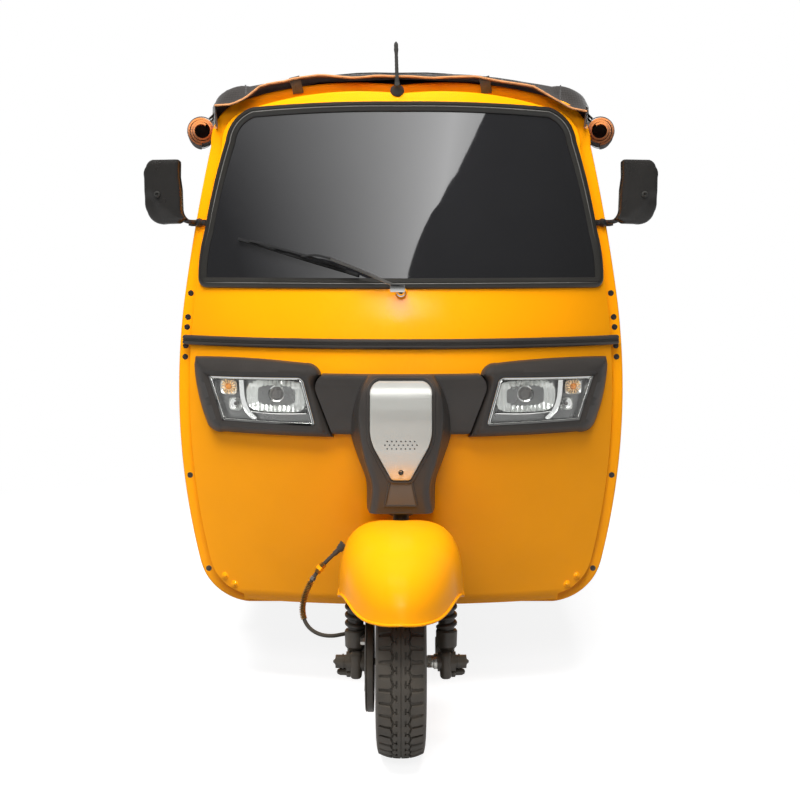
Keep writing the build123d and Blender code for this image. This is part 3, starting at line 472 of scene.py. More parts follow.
def helix(start, end, radius, turns, wire):
    """A coil spring's wire from start to end."""
    axis = unit(end - start)
    side = np.cross(axis, (1.0, 0, 0))
    side /= np.linalg.norm(side)
    up = np.cross(axis, side)
    share = np.linspace(0, 1, int(turns * 20))
    angle = share * turns * 2 * math.pi
    ring = np.cos(angle)[:, None] * side + np.sin(angle)[:, None] * up
    return tube(start + (end - start) * share[:, None] + radius * ring, wire, 14)


def mesh_part(bm):
    """A bmesh's vertices and faces."""
    return np.array([tuple(v.co) for v in bm.verts]), [tuple(v.index for v in f.verts) for f in bm.faces]


def rounded_box(low, high, radius, segments=3):
    """A box between two corners with all its edges rounded."""
    bm = bmesh.new()
    bmesh.ops.create_cube(bm, size=1.0)
    low, high = np.asarray(low, float), np.asarray(high, float)
    for v in bm.verts:
        v.co = Vector((low + high) / 2 + np.array(v.co) * (high - low))
    bmesh.ops.bevel(bm, geom=bm.edges[:], offset=radius, segments=segments, profile=0.5, affect="EDGES")
    part = mesh_part(bm)
    bm.free()
    return part


def turned(part, angle, axis, centre):
    """The part turned by degrees about an axis through a centre."""
    vertices, faces = part
    turn = np.array(Matrix.Rotation(math.radians(angle), 3, axis))
    centre = np.asarray(centre, float)
    return (np.asarray(vertices) - centre) @ turn.T + centre, faces


def dome(centre, axis, radius, height, n=16):
    """A round-headed screw or rivet."""
    profile = [(-1.0, radius), (0, radius)]
    profile += [(height * math.sin(t), radius * math.cos(t)) for t in np.linspace(0.3, 1.5, 5)]
    return lathe(profile, centre, axis, n)


def hexagon(centre, axis, radius, height):
    """A nut or bolt head with chamfered corners."""
    return lathe([(0, radius), (height * 0.8, radius), (height, radius * 0.86), (height, 0)], centre, axis, 6)


def upright(line, y):
    """Places from a line in X and Z; y is one number or one a point."""
    return np.stack([line[:, 0], np.broadcast_to(y, len(line)), line[:, 1]], 1)


def fill(outer, holes, rings, spacing):
    """Triangles over a region in X and Z, with its loops as edges."""
    loops = [outer, *holes, *rings]
    points, edges = [], []
    for loop in loops:
        start = len(points)
        points += [tuple(p) for p in loop]
        edges += [(start + i, start + (i + 1) % len(loop)) for i in range(len(loop))]
    (x0, z0), (x1, z1) = outer.min(0), outer.max(0)
    gx, gz = np.meshgrid(np.arange(x0 + spacing / 2, x1, spacing), np.arange(z0 + spacing / 2, z1, spacing))
    gx[1::2] += spacing / 2
    gx, gz = gx.ravel(), gz.ravel()
    keep = inside(outer, gx, gz)
    for hole in holes:
        keep &= ~inside(hole, gx, gz)
    for loop in loops:
        keep &= distance_to(loop, gx, gz) > spacing * 0.45
    points += list(zip(gx[keep], gz[keep]))
    vertices, _, faces, *_ = delaunay_2d_cdt([Vector(p) for p in points], edges, [], 0, 1e-4)
    flat = np.array([tuple(v) for v in vertices])
    middles = np.array([flat[list(f)].mean(0) for f in faces])
    good = inside(outer, middles[:, 0], middles[:, 1])
    for hole in holes:
        good &= ~inside(hole, middles[:, 0], middles[:, 1])
    return flat, [f for f, ok in zip(faces, good) if ok]


def plate(outer, front, back, holes, rings, spacing):
    """A closed plate over a region; front and back give Y from X and Z."""
    flat, faces = fill(outer, holes, rings, spacing)
    n = len(flat)
    vertices = np.vstack([upright(flat, side(flat[:, 0], flat[:, 1])) for side in (front, back)])
    return vertices, thickened([tuple(f) for f in faces], n)


def edge_rise(distance, radius):
    """A rounded edge's height: 0 at the rim, radius once that far inside it."""
    d = np.clip(distance, 0, radius)
    return np.sqrt(np.maximum(radius**2 - (radius - d) ** 2, 0))


def smooth_step(value, low, high):
    t = np.clip((value - low) / (high - low), 0, 1)
    return t * t * (3 - 2 * t)


def dress(node, look, bevel=0.0, segments=2):
    """A CAD node's material, with its sharp edges rounded."""
    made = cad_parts[node]
    made.data.materials.clear()
    made.data.materials.append(look.material)
    if bevel:
        weld = made.modifiers.new("weld", "WELD")
        weld.merge_threshold = 0.00001
        rounding = made.modifiers.new("bevel", "BEVEL")
        rounding.width, rounding.segments, rounding.limit_method = bevel * MM, segments, "ANGLE"
        rounding.angle_limit = math.radians(32)
        made.modifiers.new("normals", "WEIGHTED_NORMAL").keep_sharp = True
    return made


# ---------------------------------------------------------------- front brake hose
HOSE_R = 4.5
HOSE_ROUTE = [
    (-141, 72, 447), (-160, 70, 430), (-182, 66, 408), (-204, 61, 378), (-220, 56, 343), (-225, 50, 307),
    (-213, 44, 276), (-187, 42, 258), (-157, 48, 252), (-128, 58, 255), (-101, 65, 258), (-74.3, 66, 259),
]


def brake_hose():
    """The hose as a smooth curve, with three unions, a ferrule, a grip tab and a spring guard."""
    route = np.array([(x, behind(y), z) for x, y, z in HOSE_ROUTE])
    curve = bpy.data.curves.new("brake_hose_line", "CURVE")
    curve.dimensions, curve.bevel_depth, curve.bevel_resolution = "3D", HOSE_R * MM, 6
    curve.use_fill_caps = True
    spline = curve.splines.new("NURBS")
    spline.points.add(len(route) - 1)
    for point, place in zip(spline.points, route):
        point.co = (*(place * MM), 1)
    spline.order_u, spline.use_endpoint_u, spline.resolution_u = 3, True, 12
    hose = bpy.data.objects.new("brake_hose_line", curve)
    scene.collection.objects.link(hose)
    curve.materials.append(rubber.material)
    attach(hose, STEERING)
    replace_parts(hose, "brake_hose")

    bare = curve.copy()
    bare.bevel_depth = 0
    probe = bpy.data.objects.new("probe", bare)
    scene.collection.objects.link(probe)
    line_mesh = bpy.data.meshes.new_from_object(probe)
    line = np.array([tuple(v.co) for v in line_mesh.vertices]) / MM
    bpy.data.objects.remove(probe)
    bpy.data.meshes.remove(line_mesh)
    bpy.data.curves.remove(bare)

    def along(first, last):
        n = len(line)
        return line[int(first * n):max(int(last * n), int(first * n) + 3)]

    for name, (first, last), radius, look in (
        ("hose_union_upper", (0.0, 0.04), 6.4, rubber),
        ("hose_union_middle", (0.12, 0.20), 7.4, brass),
        ("hose_grip_tab", (0.145, 0.175), 9.5, yellow),
        ("hose_ferrule", (0.225, 0.25), 7.0, zinc),
        ("hose_union_lower", (0.95, 1.0), 6.6, zinc),
    ):
        piece = along(first, last)
        add(name, *tube(piece, radius, 6), look, STEERING)
    guard = along(0.26, 0.50)
    turns = 24
    share = np.linspace(0, 1, turns * 14)
    places = np.stack([np.interp(share, np.linspace(0, 1, len(guard)), guard[:, k]) for k in range(3)], 1)
    run = directions(places)
    side = units(np.cross(run, (0.0, 1.0, 0.0)))
    up = np.cross(run, side)
    angle = share * turns * 2 * math.pi
    coil = places + 6.2 * (np.cos(angle)[:, None] * side + np.sin(angle)[:, None] * up)
    add("hose_spring_guard", *tube(coil, 1.3, 5), brass, STEERING)


brake_hose()

# ---------------------------------------------------------------- cowl's skin
# height, nose behind the front axle, edge behind the front axle at the half chord
SKIN = np.array([
    (200, 352, 470), (420, 285, 470), (640, 232, 475), (860, 212, 480), (1040, 228, 484), (1300, 296, 490),
    (1560, 384, 497),
], float)
HALF_CHORD, COWL_T = 600.0, 14.0
HOOP_FRONT, HOOP_DEPTH, HOOP_W = 430.0, 50.0, 30.0
HOOP_EDGE_R = 5.0
# outlines in X and Z; a pair of points is an arc through the first to the second
HOOP_OUTLINE = [
    (0, 230), (392, 230), ((460, 256), (500, 300)), ((509, 320), (515, 340)), ((559, 640), (545, 1004)),
    ((515, 1182), (472, 1385)), ((447, 1462), (385, 1500)), ((240, 1532), (0, 1535)),
]
SCREEN_OUTLINE = [(0, 1034), (478, 1036), ((496, 1043), (503, 1062)), ((497, 1130), (486, 1176)),
                  ((461, 1293), (432, 1396)), ((411, 1446), (364, 1477)), ((190, 1484), (0, 1485))]
BEZEL_OUTLINE = [(-512, 866), (-516, 846), ((-506, 775), (-484, 707)), ((-470, 688), (-435, 683)),
                 (-160, 683), (-202, 795), ((-201, 815), (-188, 832)), ((-200, 852), (-228, 860)),
                 ((-360, 868), (-512, 866))]
LENS_OUTLINE = [(-473, 822), (-437, 714), (-214, 712), ((-207, 713), (-205, 722)), (-228, 810),
                ((-234, 823), (-248, 827)), (-473, 822)]


def hermite(x, xs, ys):
    """A smooth curve through the table's points, read at x."""
    slopes = np.gradient(ys, xs)
    i = np.clip(np.searchsorted(xs, x) - 1, 0, len(xs) - 2)
    h = xs[i + 1] - xs[i]
    t = np.clip((x - xs[i]) / h, 0, 1)
    return (ys[i] * (1 + 2 * t) * (1 - t) ** 2 + slopes[i] * h * t * (1 - t) ** 2
            + ys[i + 1] * t**2 * (3 - 2 * t) + slopes[i + 1] * h * t**2 * (t - 1))


def skin(x, z, proud=0.0):
    """Y of the cowl's skin, or of a layer proud ahead of it."""
    x, z = np.asarray(x, float), np.asarray(z, float)
    nose, edge = hermite(z, SKIN[:, 0], SKIN[:, 1]), hermite(z, SKIN[:, 0], SKIN[:, 2])
    bulge = edge - nose
    radius = (HALF_CHORD**2 + bulge**2) / (2 * bulge)
    return FRONT_AXLE_Y + nose + radius - np.sqrt(radius**2 - x**2) - proud


def skin_out(x, z):
    """The skin's outward direction."""
    e = 2.0
    dx = (skin(x + e, z) - skin(x - e, z)) / (2 * e)
    dz = (skin(x, z + e) - skin(x, z - e)) / (2 * e)
    return units(np.stack([dx, -np.ones_like(dx), dz], 1))


def on_skin(points, proud=0.0):
    """Places on the skin from X and Z."""
    points = np.asarray(points, float)
    return upright(points, skin(points[:, 0], points[:, 1], proud))


def skin_place(x, z, proud):
    return (x, float(skin(x, z, proud)), z)


hoop_loop = mirrored(HOOP_OUTLINE, 10)
screen_loop = mirrored(SCREEN_OUTLINE, 8)
bezel_loop = counter_clockwise(closed(BEZEL_OUTLINE, 6))
lens_loop = counter_clockwise(closed(LENS_OUTLINE, 5))
opening_loop = counter_clockwise(inset(hoop_loop, HOOP_W + 0.5))
COWL_BOTTOM_Z, COWL_BOTTOM_HALF = 243.5, 399.5


def cowl_outline():
    """The hoop's opening, with the lower edge brought down in front of the hoop's bottom run."""
    loop = opening_loop
    kept = loop[(np.abs(loop[:, 0]) > COWL_BOTTOM_HALF + 2) | (loop[:, 1] > 400)]
    start = int(np.argmax((kept[:, 1] < 400) & (kept[:, 0] > 0)))
    kept = np.roll(kept, -start, 0)
    low_run = loop[loop[:, 1] < 300]
    join = float(np.interp(COWL_BOTTOM_HALF, low_run[:, 0], low_run[:, 1]))
    across = np.linspace(-COWL_BOTTOM_HALF, COWL_BOTTOM_HALF, 61)
    lower = np.column_stack([across, np.full(len(across), COWL_BOTTOM_Z)])
    return np.vstack([kept, [(-COWL_BOTTOM_HALF, join)], lower, [(COWL_BOTTOM_HALF, join)]])


def cowl_face(x, z, proud=0.0):
    """The skin, turned under along its lower edge."""
    under = 13.0 * np.clip((274.0 - z) / 30.0, 0, 1) ** 2 * smooth_step(-np.abs(x), -440, -380)
    return skin(x, z, proud) + under


def cowl():
    """The yellow front panel, with normals taken from the surface itself, its bosses and its turned edge."""
    outer = cowl_outline()
    hole = inset(screen_loop, 4)
    vertices, faces = plate(outer, cowl_face, lambda x, z: cowl_face(x, z, -COWL_T), [hole], (), 13)
    made = add("cowl_panel", vertices, faces, yellow, smooth=50, slot="yellow_paint")
    mesh = made.data
    co = np.array([tuple(v.co) for v in mesh.vertices]) / MM
    loops = np.array([l.vertex_index for l in mesh.loops])
    normals = np.array([tuple(n.vector) for n in mesh.corner_normals])
    face_of = np.zeros(len(loops), int)
    for p in mesh.polygons:
        face_of[p.loop_start:p.loop_start + p.loop_total] = p.index
    facing = np.array([tuple(p.normal) for p in mesh.polygons])[face_of]
    x, z = co[loops, 0], co[loops, 2]
    front = (np.abs(co[loops, 1] - cowl_face(x, z)) < 1) & (facing[:, 1] < -0.5)
    dx = (cowl_face(x + 2, z) - cowl_face(x - 2, z)) / 4
    dz = (cowl_face(x, z + 2) - cowl_face(x, z - 2)) / 4
    normals[front] = units(np.stack([dx, -np.ones_like(dx), dz], 1))[front]
    mesh.normals_split_custom_set(normals.tolist())
    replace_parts(made, "front_cowl")
    bosses = []
    for x, z in ((-446, 306), (-421, 286), (446, 306), (421, 286)):
        place = skin_place(x, z, -1)
        bosses += [lathe([(-2, 10), (2, 10), (4, 7.5), (5, 0)], place, AHEAD, 24),
                   dome((x, place[1] - 4.5, z), AHEAD, 4.2, 3)]
    add("cowl_bosses", *joined(bosses), yellow)
    ring = []
    for line, side in ((opening_loop, 1), (inset(opening_loop, 2), -1)):
        front = cowl_face(line[:, 0], line[:, 1]) + 0.6
        back = np.maximum(behind(HOOP_FRONT) + 3, front + 2)
        ring += [upright(line, y) for y in (front, back)[::side]]
    add("cowl_return", np.vstack(ring), grid_faces(4, len(opening_loop), True, True), yellow)


def hoop():
    """The pressed hoop round the front, with its rolled lip and screws."""
    line = inset(hoop_loop, HOOP_W / 2)
    y = behind(HOOP_FRONT + HOOP_DEPTH / 2)
    w, d, r = HOOP_W / 2, HOOP_DEPTH / 2, HOOP_EDGE_R
    section = []
    for (cx, cy), start in zip(flat_section(w, d), (180, 270, 0, 90)):
        for t in np.radians(np.linspace(start, start + 90, 5)):
            section.append((cx - math.copysign(r, cx) + r * math.cos(t),
                            cy - math.copysign(r, cy) + r * math.sin(t)))
    part = sweep(upright(line, y), section, AHEAD, wrap=True)
    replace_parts(add("hoop_pressing", *part, yellow, slot="yellow_paint"), "front_hoop")
    lip = upright(inset(hoop_loop, 1.5), y + d - 5)
    add("hoop_edge_trim", *tube(lip, 4.0, 8, wrap=True), rubber)
    front = behind(HOOP_FRONT) + 1.5
    screws = []
    for z in (962, 937, 890, 862, 1022, 318, 560):
        for side in (-1, 1):
            edge_x = side * (np.interp(z, *hoop_side()) - HOOP_W / 2)
            screws.append(dome((edge_x, front - 0.5, z), AHEAD, 5.2, 3.2))
            screws.append(lathe([(0, 7.4), (1.4, 7.4), (1.4, 5)], (edge_x, front - 0.3, z), AHEAD, 18))
    add("hoop_screws", *joined(screws), black_paint)


def hoop_side():
    """Heights up the hoop's side, and its half width at each."""
    half = hoop_loop[hoop_loop[:, 0] > 300]
    half = half[np.argsort(half[:, 1])]
    return half[:, 1], half[:, 0]


def windscreen():
    """The rubber seal with its locking strip, whose light grey is partly a painted highlight along the seal's
    ridge, and the pane.
    """
    line = inset(screen_loop, 13)
    path = on_skin(line)
    out = skin_out(line[:, 0], line[:, 1])
    section = [(-13, -6), (-13, 1), (-11.5, 4.6), (-8.5, 7.4), (-4.5, 8.8), (-1.8, 8.9), (-1.2, 7.6),
               (1.2, 7.6), (1.8, 8.7), (5.5, 7.6), (9.5, 5.0), (12.2, 2.2), (13, 1.0), (13, -6)]
    flip = 1 if np.cross(directions(path, True), out)[0].dot((0, 0, 1)) > 0 else -1
    section = [(x * flip, z) for x, z in section]
    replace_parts(add("screen_seal", *sweep(path, section, out, wrap=True), seal_look, slot="black_rubber",
                    smooth=50), "windscreen_seal")
    # the locking strip's light grey stands partly for a painted highlight along the seal
    add("screen_lock_strip", *tube(on_skin(line, 8.0), 1.3, 6, wrap=True), grey_strip_painted_highlight)
    dress("windscreen", glass)


STRIP_Z, STRIP_ON_HOOP_X = 906.0, 505


def strip():
    """The rub strip across the cowl and over the hoop."""
    x = np.concatenate([[-541, -533], np.linspace(-524, 524, 90), [533, 541]])
    path = on_skin(np.column_stack([x, np.full(len(x), STRIP_Z)]))
    beyond = np.abs(x) - STRIP_ON_HOOP_X
    on_hoop = np.minimum(path[:, 1], behind(HOOP_FRONT) + 1 + 0.15 * beyond)
    path[:, 1] = np.where(beyond > 0, on_hoop, path[:, 1])
    section = [(-12, -3), (-12, 4), (-10.6, 7.4), (-7.5, 9.6), (-5, 10.2), (-3.5, 8.6), (-1.5, 8.2),
               (1.5, 8.2), (3.5, 8.6), (5, 10.2), (7.5, 9.6), (10.6, 7.4), (12, 4), (12, -3)]
    made = add("cowl_strip", *sweep(path, section, AHEAD), plastic, smooth=50, slot="dark_plastic")
    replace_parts(made, "rub_strip")
    add("strip_highlight", *sweep(path, [(-1.4, 7.6), (-1.4, 9.4), (1.4, 9.4), (1.4, 7.6)], AHEAD), seal_look)


cowl()
hoop()
windscreen()
strip()


# ---------------------------------------------------------------- lamps
def lamp_front(x, z):
    """The housing's face: domed at its rim, sloping in to the lens, flatter towards the nose."""
    d = distance_to(bezel_loop, x, z)
    rim = edge_rise(d, 16) * 24 / 16
    crown = 14 * smooth_step(d, 4, 34)
    to_lens = distance_to(lens_loop, x, z)
    dip = 9 * (1 - smooth_step(to_lens, 0, 13))
    return skin(x, z, 2 + rim + crown - dip)


def lamp_unit():
    """Housing, bowl and pane of the right hand lamp (at -X)."""
    rings = [inset(bezel_loop, d) for d in (2, 5, 10, 18)]
    outward = [counter_clockwise(inset(lens_loop, -d)) for d in (3, 8, 13)]
    housing = plate(bezel_loop, lamp_front, lambda x, z: skin(x, z, -0.5), [lens_loop], rings + outward, 14)
    step_in = inset(lens_loop, 1.0)
    well = [on_skin(inset(lens_loop, inward), proud) for proud, inward in ((31, 1.0), (29, 4.0), (10, 9.0))]
    bowl = np.vstack(well), grid_faces(3, len(lens_loop), False, True)

    def pane_front(x, z):
        return skin(x, z, 25 + 4.5 * smooth_step(distance_to(step_in, x, z), 0, 16))

    pane = plate(inset(lens_loop, 2.0), pane_front, lambda x, z: skin(x, z, 22.5), (),
                 [inset(lens_loop, 6)], 12)
    return housing, bowl, pane


def reflector(centre_x, centre_z, half_w, half_h, depth, flutes, n, rings):
    """A fluted bowl facing ahead, with flutes so wide."""
    rows, turn = [], full_turn(n)
    for k in range(rings + 1):
        share = k / rings
        square = (np.abs(np.cos(turn)) ** 4 + np.abs(np.sin(turn)) ** 4) ** -0.25
        x = centre_x + half_w * share * square * np.cos(turn)
        z = centre_z + half_h * share * square * np.sin(turn)
        ripple = 0.9 * np.cos(x * 2 * math.pi / flutes) * min(1.0, share * 3)
        back = depth * (1 - share**2) + ripple
        rows.append(np.stack([x, skin(x, z, 23) + back, z], 1))
    return np.vstack(rows), grid_faces(rings + 1, n, False, True)


def lamps():
    """Both headlamps: housings, panes, reflectors, trim, bulb caps and the indicator's petals and bulb."""
    housing, bowl, pane = lamp_unit()
    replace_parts(add("lamp_housings", *both(housing), plastic, smooth=40, slot="dark_plastic"),
                "headlamp_housings")
    add("lamp_bowls", *both(bowl), chrome, smooth=40, slot="lamp_housing")
    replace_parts(add("lamp_panes", *both(pane), clear, smooth=40, slot="clear_lens"), "headlamp_lenses")
    floor = plate(inset(lens_loop, 8), lambda x, z: skin(x, z, 9.5), lambda x, z: skin(x, z, 7), (), (), 14)
    add("lamp_floors", *both(floor), dark_reflector, slot="lamp_housing")
    main = [reflector(-298, 780, 73, 38, 22, 11.0, 280, 24)]
    round_bowls = [reflector(-417, 797, 22, 18, 12, 90.0, 44, 6),
                   reflector(-400, 757, 17, 16, 13, 90.0, 36, 6)]
    add("lamp_reflectors", *both(joined(main + round_bowls)), reflector_look, smooth=60, slot="lamp_housing")
    divider = on_skin(curve_through([(-386, 822), (-384, 800), (-381, 770), (-370, 742), (-350, 722)]), 19)
    bar = sweep(divider, flat_section(5.5, 1.5), AHEAD)
    ledge = tube(on_skin(curve_through([(-362, 742), (-300, 739), (-222, 742)]), 21), 3.0, 8)
    frame_line = tube(on_skin(inset(lens_loop, 6.5), 21), 2.6, 8, wrap=True)
    rings = [lathe([(0, 19), (4, 20), (6, 18), (3, 14)], skin_place(-296, 785, 12), AHEAD, 32),
             lathe([(0, 14), (4, 14.5), (6, 11), (1, 10)], skin_place(-400, 757, 12), AHEAD, 24)]
    add("lamp_trim", *both(joined([bar, ledge, frame_line, *rings])), chrome, slot="lamp_housing")
    caps = [lathe([(0, 14), (6, 14), (9, 10), (8, 6), (10, 0)], skin_place(-296, 785, 10), AHEAD, 28),
            lathe([(0, 5), (6, 5), (9, 3), (9.5, 0)], skin_place(-400, 757, 11), AHEAD, 16)]
    add("lamp_bulb_caps", *both(joined(caps)), grey_plastic)
    petals = []
    centre = (-418, 798)
    for k in range(14):
        turn = 2 * math.pi * (k + 0.5) / 14
        x, z = centre[0] + 13.5 * math.cos(turn), centre[1] + 12 * math.sin(turn)
        petal = rounded_box((x - 5, float(skin(x, z, 21)), z - 1.5),
                            (x + 5, float(skin(x, z, 15)), z + 1.5), 0.8, 1)
        petals.append(turned(petal, -math.degrees(turn), "Y", skin_place(x, z, 17)))
    add("indicator_petals", *both(joined(petals)), cream)
    bulb = lathe([(0, 7.5), (6, 8), (9, 6), (10, 0)], skin_place(*centre, 8), AHEAD, 20)
    add("indicator_bulbs", *both(bulb), amber)


lamps()

# ---------------------------------------------------------------- nose
# height, half width at the cowl, half width at the face, face behind the front axle
NOSE = np.array([
    (518, 82, 62, 128), (580, 84, 56, 121), (640, 104, 72, 117), (700, 120, 84, 116), (770, 110, 86, 122),
    (812, 92, 76, 140), (836, 76, 62, 166),
], float)
DOT_STEP, DOT_R = 10.4, 1.9
NOSE_PANEL = [(0, 598), (17, 598), (23, 601), (61, 673), ((69, 698), (71, 726)), (71, 792),
              ((68, 812), (50, 825)), (0, 825)]


def nose_row(z):
    """The nose in plan at one height: flank, rounded corner, face, mirrored."""
    at_cowl, at_face, face = (float(hermite(np.array(z), NOSE[:, 0], NOSE[:, k])) for k in (1, 2, 3))
    back = float(skin(0, z, 1)) - FRONT_AXLE_Y
    mid_y = face + 26
    points = [(at_cowl, back + 2), (at_cowl * 0.5 + (at_face + 14) * 0.5 + 1, (back + mid_y) / 2)]
    points += [(at_face + 13, mid_y + 4), (at_face + 11, mid_y - 10), (at_face + 5, face + 7),
               (at_face - 3, face + 2)]
    points += [(at_face * 0.8, face + 0.6), (at_face * 0.4, face), (0, face)]
    side = curve_through(points, 4)
    return [(x, behind(y), z) for x, y in side] + [(-x, behind(y), z) for x, y in side[::-1][1:]]


def nose():
    """The nose's body and its arms over the cowl, the badge panel, the foot plate, lip, collar and screw."""
    heights = np.concatenate([np.linspace(518, 600, 10), np.linspace(610, 800, 22), np.linspace(806, 836, 8)])
    rows = [nose_row(z) for z in heights]
    m = len(rows[0])
    vertices = np.array([p for row in rows for p in row], float)
    faces = grid_faces(len(rows), m)
    faces += end_caps(len(rows), m)
    first, last = (tuple(k * m + j for k in range(len(rows))) for j in (0, m - 1))
    body = vertices, [*faces, first[::-1] + last]
    arm_outline = [(-60, 690), (-60, 836), (-186, 836), (-187.5, 832), ((-200.5, 815), (-201.4, 795)),
                   (-162, 690), (-60, 690)]
    arm_loop = counter_clockwise(closed(arm_outline, 6))

    def arm_front(x, z):
        edge = np.minimum(836 - z, z - 690)
        rise = edge_rise(np.clip(edge, 0, 99), 9) * 24 / 9
        ridge = 2.5 * np.exp(-(((836 - z) - 24) / 3.0) ** 2)
        return skin(x, z, np.maximum(rise - ridge, 0.5))

    arm = plate(arm_loop, arm_front, lambda x, z: skin(x, z, -0.3), (),
                [inset(arm_loop, d) for d in (1.5, 4)], 8)
    add("nose_arms", *both(arm), plastic, smooth=50, slot="dark_plastic")
    garnish = add("nose_body", *body, plastic, smooth=50, slot="dark_plastic")
    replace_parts(garnish, "nose_garnish")

    loop = mirrored(NOSE_PANEL, 5)

    def face_y(x, z):
        return behind(hermite(z, NOSE[:, 0], NOSE[:, 3])) + 0.8 * (np.abs(x) / 70) ** 2

    def front(x, z):
        d = distance_to(loop, x, z)
        crown = 9.0 * np.clip(np.minimum((z - 598) / 70, (826 - z) / 38), 0, 1)
        return face_y(x, z) - 1.5 - crown - edge_rise(d, 3.5) - 0.8 * np.cos(x / 72 * math.pi / 2)

    dots = []
    for z, start in ((691, -3), (682.4, -3.5), (673.8, -3)):
        dots += [(x, z) for x in np.arange(start, 4) * DOT_STEP]
    holes = [np.array([(x + DOT_R * math.cos(t), z + DOT_R * math.sin(t))
                       for t in np.arange(8) * math.pi / 4]) for x, z in dots]
    rings = [inset(loop, d) for d in (1, 2.4, 4)]
    part = plate(loop, front, lambda x, z: face_y(x, z) - 0.3, holes, rings, 5)
    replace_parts(add("nose_badge_panel", *part, silver, smooth=40, slot="silver_panel"), "nose_panel")
    foot = counter_clockwise(np.array([(-25, 596), (-37, 537), (37, 537), (25, 596)], float))
    recess = plate(foot, lambda x, z: face_y(x, z) - 1.2, lambda x, z: face_y(x, z) + 2, (), (), 8)
    add("nose_foot_plate", *recess, grey_plastic)
    frame_path = closed([tuple(p) for p in foot] + [tuple(foot[0])], 6)
    raised = upright(frame_path, face_y(frame_path[:, 0], frame_path[:, 1]) - 1.0)
    add("nose_foot_frame", *sweep(raised, circle(2.6, 8), AHEAD, True), plastic)
    foot_y = behind(float(hermite(np.array(519.0), NOSE[:, 0], NOSE[:, 3]))) + 2
    lip = np.array([(x, foot_y + 14 * (abs(x) / 66) ** 4, 520.5) for x in np.linspace(-68, 68, 25)])
    add("nose_bottom_lip", *tube(lip, 3.2, 8), plastic)
    rim = inset(loop, -4)
    collar = upright(rim, face_y(rim[:, 0], rim[:, 1]) - 0.5)
    add("nose_panel_collar", *sweep(collar, circle(4.5, 10, 0.9), AHEAD, True), plastic)
    y = float(face_y(0, 618)) - 7.8
    screw = lathe([(0, 6.0), (1.8, 6.0), (2.4, 4.9), (1.0, 3.6), (0.8, 0)], (0, y, 618), AHEAD, 24)
    add("nose_panel_screw", *screw, black_paint)


nose()


# ---------------------------------------------------------------- wiper, mirrors, aerial
WIPER_OUT = (0.0, -1.0, 0.3)


def wiper():
    """The wiper at rest on the screen: spindle, arm, yokes and blade."""
    add("wiper_spindle_base", *lathe([(0, 15), (5, 15), (8, 12), (12, 11), (12, 0)], skin_place(0, 1026, -1),
                                    (0, -1, 0.25), 28), yellow)
    nut = lathe([(0, 11), (6, 11), (7, 9), (15, 9), (19, 7), (20, 0)], skin_place(0, 1026, 12),
                (0, -1, 0.25), 24)
    head = rounded_box((-26, skin_place(-10, 1034, 34)[1], 1027), (10, skin_place(0, 1034, 22)[1], 1047), 4)
    cap = joined([nut, head])
    add("wiper_cap", *cap, chrome)
    arm = [skin_place(-8, 1040, 26), skin_place(-90, 1076, 30), skin_place(-172, 1108, 28)]
    line = curve_through(arm, 8)
    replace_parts(add("wiper_arm", *sweep(line, flat_section(3.5, 1.4), WIPER_OUT), steel), "wiper")
    stem = tube(curve_through([skin_place(-165, 1106, 29), skin_place(-200, 1114, 26),
                               skin_place(-234, 1112, 20)]), 2.6, 8)
    yokes = []
    for a, b in (((-130, 1082), (-300, 1134)), ((-130, 1082), (-190, 1100)), ((-255, 1120), (-365, 1150))):
        mid = ((a[0] + b[0]) / 2, (a[1] + b[1]) / 2 + 2)
        bow = curve_through([skin_place(*a, 12), skin_place(*mid, 19), skin_place(*b, 12)], 6)
        yokes.append(sweep(bow, flat_section(2.5, 1), WIPER_OUT))
    rubber_line = curve_through([skin_place(-100, 1067, 6), skin_place(-232, 1106, 7),
                                 skin_place(-394, 1154, 6)], 12)
    blade = sweep(rubber_line, [(-1.2, -5), (1.2, -5), (3.2, 1), (3.2, 5), (-3.2, 5), (-3.2, 1)], WIPER_OUT)
    add("wiper_blade", *joined([stem, *yokes, blade]), black_paint)


MIRROR_FRONT = 376


